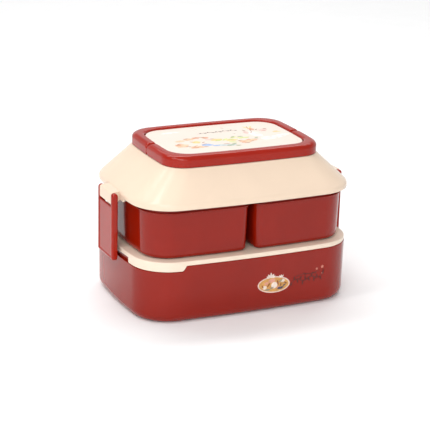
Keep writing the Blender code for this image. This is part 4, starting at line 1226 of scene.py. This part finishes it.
def top_print():
    """A sprig and a loose garland of leaves and blossoms on the cover's top plate."""
    layers = []

    def plate(x, y, height):
        return Vector((x, y, PLATE_TOP_Z + height))

    def layer(name, colour, height, slot="pale_cream_plastic"):
        made = Print(plate, height)
        layers.append((made, name, colour, slot))
        return made

    layer("wash", (0.86, 0.80, 0.74), 0.03).discs(
        (40.0, -12.5, 14.0, 5.2, 8, 3, 0.2), (51.5, -8.0, 8.0, 3.0, 12),
        (30.5, 1.5, 5.0, 9.5, 10), (-38.0, 28.0, 9.0, 2.4, 4),
    )
    layer("peach", (0.82, 0.52, 0.33), 0.04).discs(
        (-44.0, -13.0, 6.6, 5.4, 10, 5, 0.25), (-33.0, -20.5, 8.0, 3.2, -4, 6, 0.25),
        (-31.0, 3.4, 5.6, 3.2, 12, 5, 0.25), (-40.5, 0.4, 4.6, 2.2, 8),
        (12.5, -17.0, 6.4, 4.4, 0, 6, 0.25), (20.8, -14.6, 4.4, 3.2, 10, 5, 0.25),
        (51.0, 3.8, 3.0, 2.0, 30),
    )
    layer("coral", (0.66, 0.30, 0.17), 0.05).discs(
        (-46.5, -10.6, 3.2, 2.6, 0, 5, 0.4), (-36.0, -22.0, 3.6, 1.4, -6),
        (-23.5, 5.8, 4.4, 2.4, 14, 5, 0.35), (-15.5, 4.0, 2.8, 2.2, 0),
        (10.0, -19.0, 2.6, 1.6, 0, 5, 0.35), (17.4, -12.6, 2.4, 1.6, 0, 5, 0.35),
        (34.0, 17.5, 3.2, 4.2, 0, 5, 0.4),
    )
    honey = layer("honey", (0.83, 0.62, 0.24), 0.045)
    honey.discs(
        (-28.5, -6.6, 4.2, 3.6, 0, 5, 0.2), (-9.0, -4.6, 5.6, 2.6, 6),
        (3.0, -9.5, 5.8, 3.0, 0, 5, 0.2),
    )
    honey.leaves(2.0, (34.0, 20.0, 8.0, 60), (33.0, 20.0, 8.0, 112), (48.0, 4.4, 8.0, 340))
    layer("lime", (0.60, 0.66, 0.24), 0.055).leaves(
        3.0, (-12.0, -8.0, 8.0, 10), (-5.0, -9.0, 8.5, 40), (0.0, -6.5, 8.0, -12),
        (4.5, -3.5, 8.0, 22), (9.5, -4.0, 8.0, -20), (11.0, -7.5, 7.0, 35),
        (-1.5, -13.5, 7.5, -30), (15.5, -6.5, 6.5, 12),
    )
    layer("fern", (0.33, 0.40, 0.22), 0.065).leaves(
        2.2, (5.5, -2.0, 5.5, 30), (12.0, -1.0, 5.5, -5), (-8.5, -24.5, 7.5, 6),
        (-3.0, -22.0, 6.5, 20), (-1.0, -26.0, 5.5, -10), (24.5, -9.5, 4.5, 20),
    )
    layer("sky", (0.34, 0.46, 0.70), 0.06).discs(
        (-23.0, -17.2, 5.8, 3.4, -4, 5, 0.25), (-16.5, -21.0, 3.4, 1.8, 0),
    )
    layer("mist", (0.52, 0.58, 0.58), 0.05).discs(
        (-12.0, -21.5, 5.4, 3.0, 6, 4, 0.2), (-4.5, -23.5, 6.0, 3.2, 0, 4, 0.2),
    )
    layer("blush", (0.80, 0.56, 0.50), 0.05).discs(
        (42.5, 12.0, 5.2, 3.6, 10, 5, 0.35), (25.0, 8.6, 2.4, 3.6, 0),
        (-15.5, -2.0, 3.2, 2.2, 0, 5, 0.3),
    )
    layer("russet", (0.34, 0.13, 0.06), 0.07, "red_plastic").leaves(
        0.9, (-47.0, -8.4, 5.0, 20), (-42.5, -16.2, 5.5, -8), (-36.0, -18.4, 5.0, 24),
        (-28.0, -22.0, 4.5, 4), (-35.5, 5.6, 5.0, 8), (-27.0, 7.2, 5.5, -14), (-20.0, 6.4, 5.0, -4),
        (-33.5, -3.8, 5.0, -38), (-24.5, -9.6, 4.0, 30), (-26.5, -14.2, 5.0, 6),
        (-13.0, -0.4, 4.4, -24), (-8.5, -18.6, 5.4, -10), (6.5, -14.0, 5.0, 18),
        (9.5, -21.5, 5.0, -4), (16.0, -18.2, 4.6, 10), (22.5, -12.2, 4.0, -28),
        (31.5, 12.0, 5.5, 78), (36.0, 13.5, 5.0, 40), (28.5, 6.0, 5.0, 60), (39.5, 9.6, 5.0, -14),
        (43.5, 14.6, 4.5, 12), (33.0, 22.0, 4.5, 85), (26.5, 13.0, 4.0, 112),
    )
    sprig = layer("umber", (0.11, 0.065, 0.04), 0.04, "red_plastic")
    sprig.stem([(-17.0, 17.0), (-8.0, 18.6), (0.5, 18.0), (9.0, 19.4), (20.5, 18.4)], 0.75)
    for x, y, turn in (
        (-15.0, 17.4, 40), (-11.0, 18.1, -35), (-7.5, 18.5, 42), (-3.5, 18.4, -38), (0.0, 18.1, 40),
        (3.5, 18.3, -36), (7.0, 19.0, 44), (11.0, 19.3, -36), (14.5, 19.2, 38), (18.0, 18.8, -34),
    ):
        sprig.leaf(x, y, 3.0, 1.3, turn)
    for made, name, colour, slot in layers:
        made.piece(f"ink_top_{name}", ink(f"ink_{name}", colour), "cover", slot)


# Studio ---------------------------------------------------------------------------------------


def floor():
    """A large pale sheet with rounded corners, its top at z = 0."""
    path = bowed((2600.0, 2600.0, 400.0, 90000.0, 90000.0), 2, 8, 2)
    made = lofted("studio_floor", path, [(0.0, -4.0), (0.0, -0.5), (0.5, 0.0)])
    material = moulded("studio_paper", (0.95, 0.95, 0.95), 0.8, tint=0.01, waviness=0.0, grain=0.05)
    made.data.materials.append(material)


def softbox(name, spot, target, width, height, power):
    """A rectangular white light at a spot, turned towards a target."""
    light = bpy.data.lights.new(name, "AREA")
    light.shape = "RECTANGLE"
    light.size = width * MM
    light.size_y = height * MM
    light.energy = power
    made = bpy.data.objects.new(name, light)
    made.location = Vector(spot) * MM
    aim = Vector(target) - Vector(spot)
    made.rotation_mode = "QUATERNION"
    made.rotation_quaternion = aim.to_track_quat("-Z", "Y")
    bpy.context.scene.collection.objects.link(made)


def surroundings(horizon, front, back, ceiling):
    """A white studio; front (the camera's side) and back are brightnesses (low, middle)."""
    world = bpy.data.worlds.new("studio")
    world.use_nodes = True
    nodes, links = world.node_tree.nodes, world.node_tree.links
    split = nodes.new("ShaderNodeSeparateXYZ")
    place = nodes.new("ShaderNodeTexCoord").outputs["Generated"]
    links.new(place, split.inputs["Vector"])
    side = nodes.new("ShaderNodeVectorMath")
    side.operation = "DOT_PRODUCT"
    side.inputs[1].default_value = (-0.42, -0.907, 0.0)
    links.new(place, side.inputs[0])
    share = nodes.new("ShaderNodeMapRange")
    share.interpolation_type = "SMOOTHSTEP"
    share.inputs["From Min"].default_value = -0.35
    share.inputs["From Max"].default_value = 0.35
    links.new(side.outputs["Value"], share.inputs["Value"])
    mix = nodes.new("ShaderNodeMix")
    mix.data_type = "RGBA"
    links.new(share.outputs["Result"], mix.inputs["Factor"])
    # Sockets 6 and 7 take the mix node's two colours, and its output 2 gives the result
    for socket, (low, middle) in ((6, back), (7, front)):
        tone = nodes.new("ShaderNodeValToRGB")
        elements = tone.color_ramp.elements
        elements[1].position = 0.85
        elements[0].position = 0.05
        elements.new(0.2)
        elements.new(0.5)
        for element, value in zip(elements, (horizon, low, middle, ceiling)):
            element.color = (value, value, value, 1.0)
        links.new(split.outputs["Z"], tone.inputs["Fac"])
        links.new(tone.outputs["Color"], mix.inputs[socket])
    links.new(mix.outputs[2], nodes["Background"].inputs["Color"])
    bpy.context.scene.world = world


def camera():
    """The photograph's view: from the front left, a little above, with a long lens."""
    azimuth, elevation, roll = math.radians(24.86), math.radians(18.21), 0.027
    distance = 1297.0
    target = Vector((-6.33, 0.0, 67.13))
    back = Vector((
        -math.sin(azimuth) * math.cos(elevation),
        -math.cos(azimuth) * math.cos(elevation),
        math.sin(elevation),
    ))
    right = Vector((math.cos(azimuth), -math.sin(azimuth), 0.0))
    up = back.cross(right)
    right, up = (
        right * math.cos(roll) + up * math.sin(roll),
        up * math.cos(roll) - right * math.sin(roll),
    )
    data = bpy.data.cameras.new("photo_view")
    data.sensor_width = 36.0
    data.lens = 125.57
    data.clip_start = 0.05
    data.clip_end = 20.0
    made = bpy.data.objects.new("photo_view", data)
    turn = Matrix((right, up, back)).transposed()
    made.matrix_world = Matrix.Translation((target + back * distance) * MM) @ turn.to_4x4()
    bpy.context.scene.collection.objects.link(made)
    bpy.context.scene.camera = made


def main():
    red = moulded("gloss_red_plastic", RED, 0.1, grain=0.04)
    deep_red = moulded("gloss_deep_red_plastic", DEEP_RED, 0.07, waviness=0.2, grain=0.03)
    cream = moulded("satin_cream_plastic", CREAM, 0.2, tint=0.02, waviness=0.2, grain=0.04)
    pale = moulded("satin_pale_cream_plastic", PALE_CREAM, 0.3, tint=0.015, grain=0.04)
    rubber = moulded("soft_silicone", SILICONE, 0.5, tint=0.02, grain=0.3)
    steel = brushed_steel("drawn_steel", STEEL)
    lid_cream = moulded("satin_lid_plastic", LID_CREAM, 0.3, tint=0.02, waviness=0.2, grain=0.04)
    lower_box(red)
    lower_lid(lid_cream)
    seal(
        "lower_lid_lip_seal", bowed(BOX_PLAN), RIM_THICKNESS + 0.3, PLUG_OUTER - 0.3,
        PLUG_LIP[1] + 0.3, LID_LOW_Z - 0.3, rubber, "lower_lid", "lower_lid_seal",
    )
    cover(cream)
    top_plate(pale)
    rear_trim(deep_red)
    carry_handle(deep_red)
    for side, name in ((-1, "left"), (1, "right")):
        upper_box(side, name, red)
        inner_lid(side, name, cream, rubber)
        latch(side, name, deep_red)
        pins(side, name, steel)
    front_print()
    top_print()
    floor()
    surroundings(0.8, (0.5, 0.5), (0.85, 0.35), 0.5)
    softbox("key", (-900, -1240, 1180), (0, 0, 60), 900, 700, 9.5)
    softbox("front", (-520, -1330, 560), (0, 0, 70), 1000, 450, 4.5)
    softbox("left", (-720, -150, 1090), (-60, -40, 115), 240, 300, 2.6)
    softbox("strip", (-1120, -510, 650), (-60, -40, 115), 90, 400, 0.5)
    softbox("overhead", (60, 420, 1150), (0, 0, 130), 1600, 220, 6.5)
    softbox("rear", (550, 1500, 1500), (550, 1400, 0), 2400, 1800, 15)
    camera()
    bpy.context.scene.view_settings.view_transform = "Standard"


main()
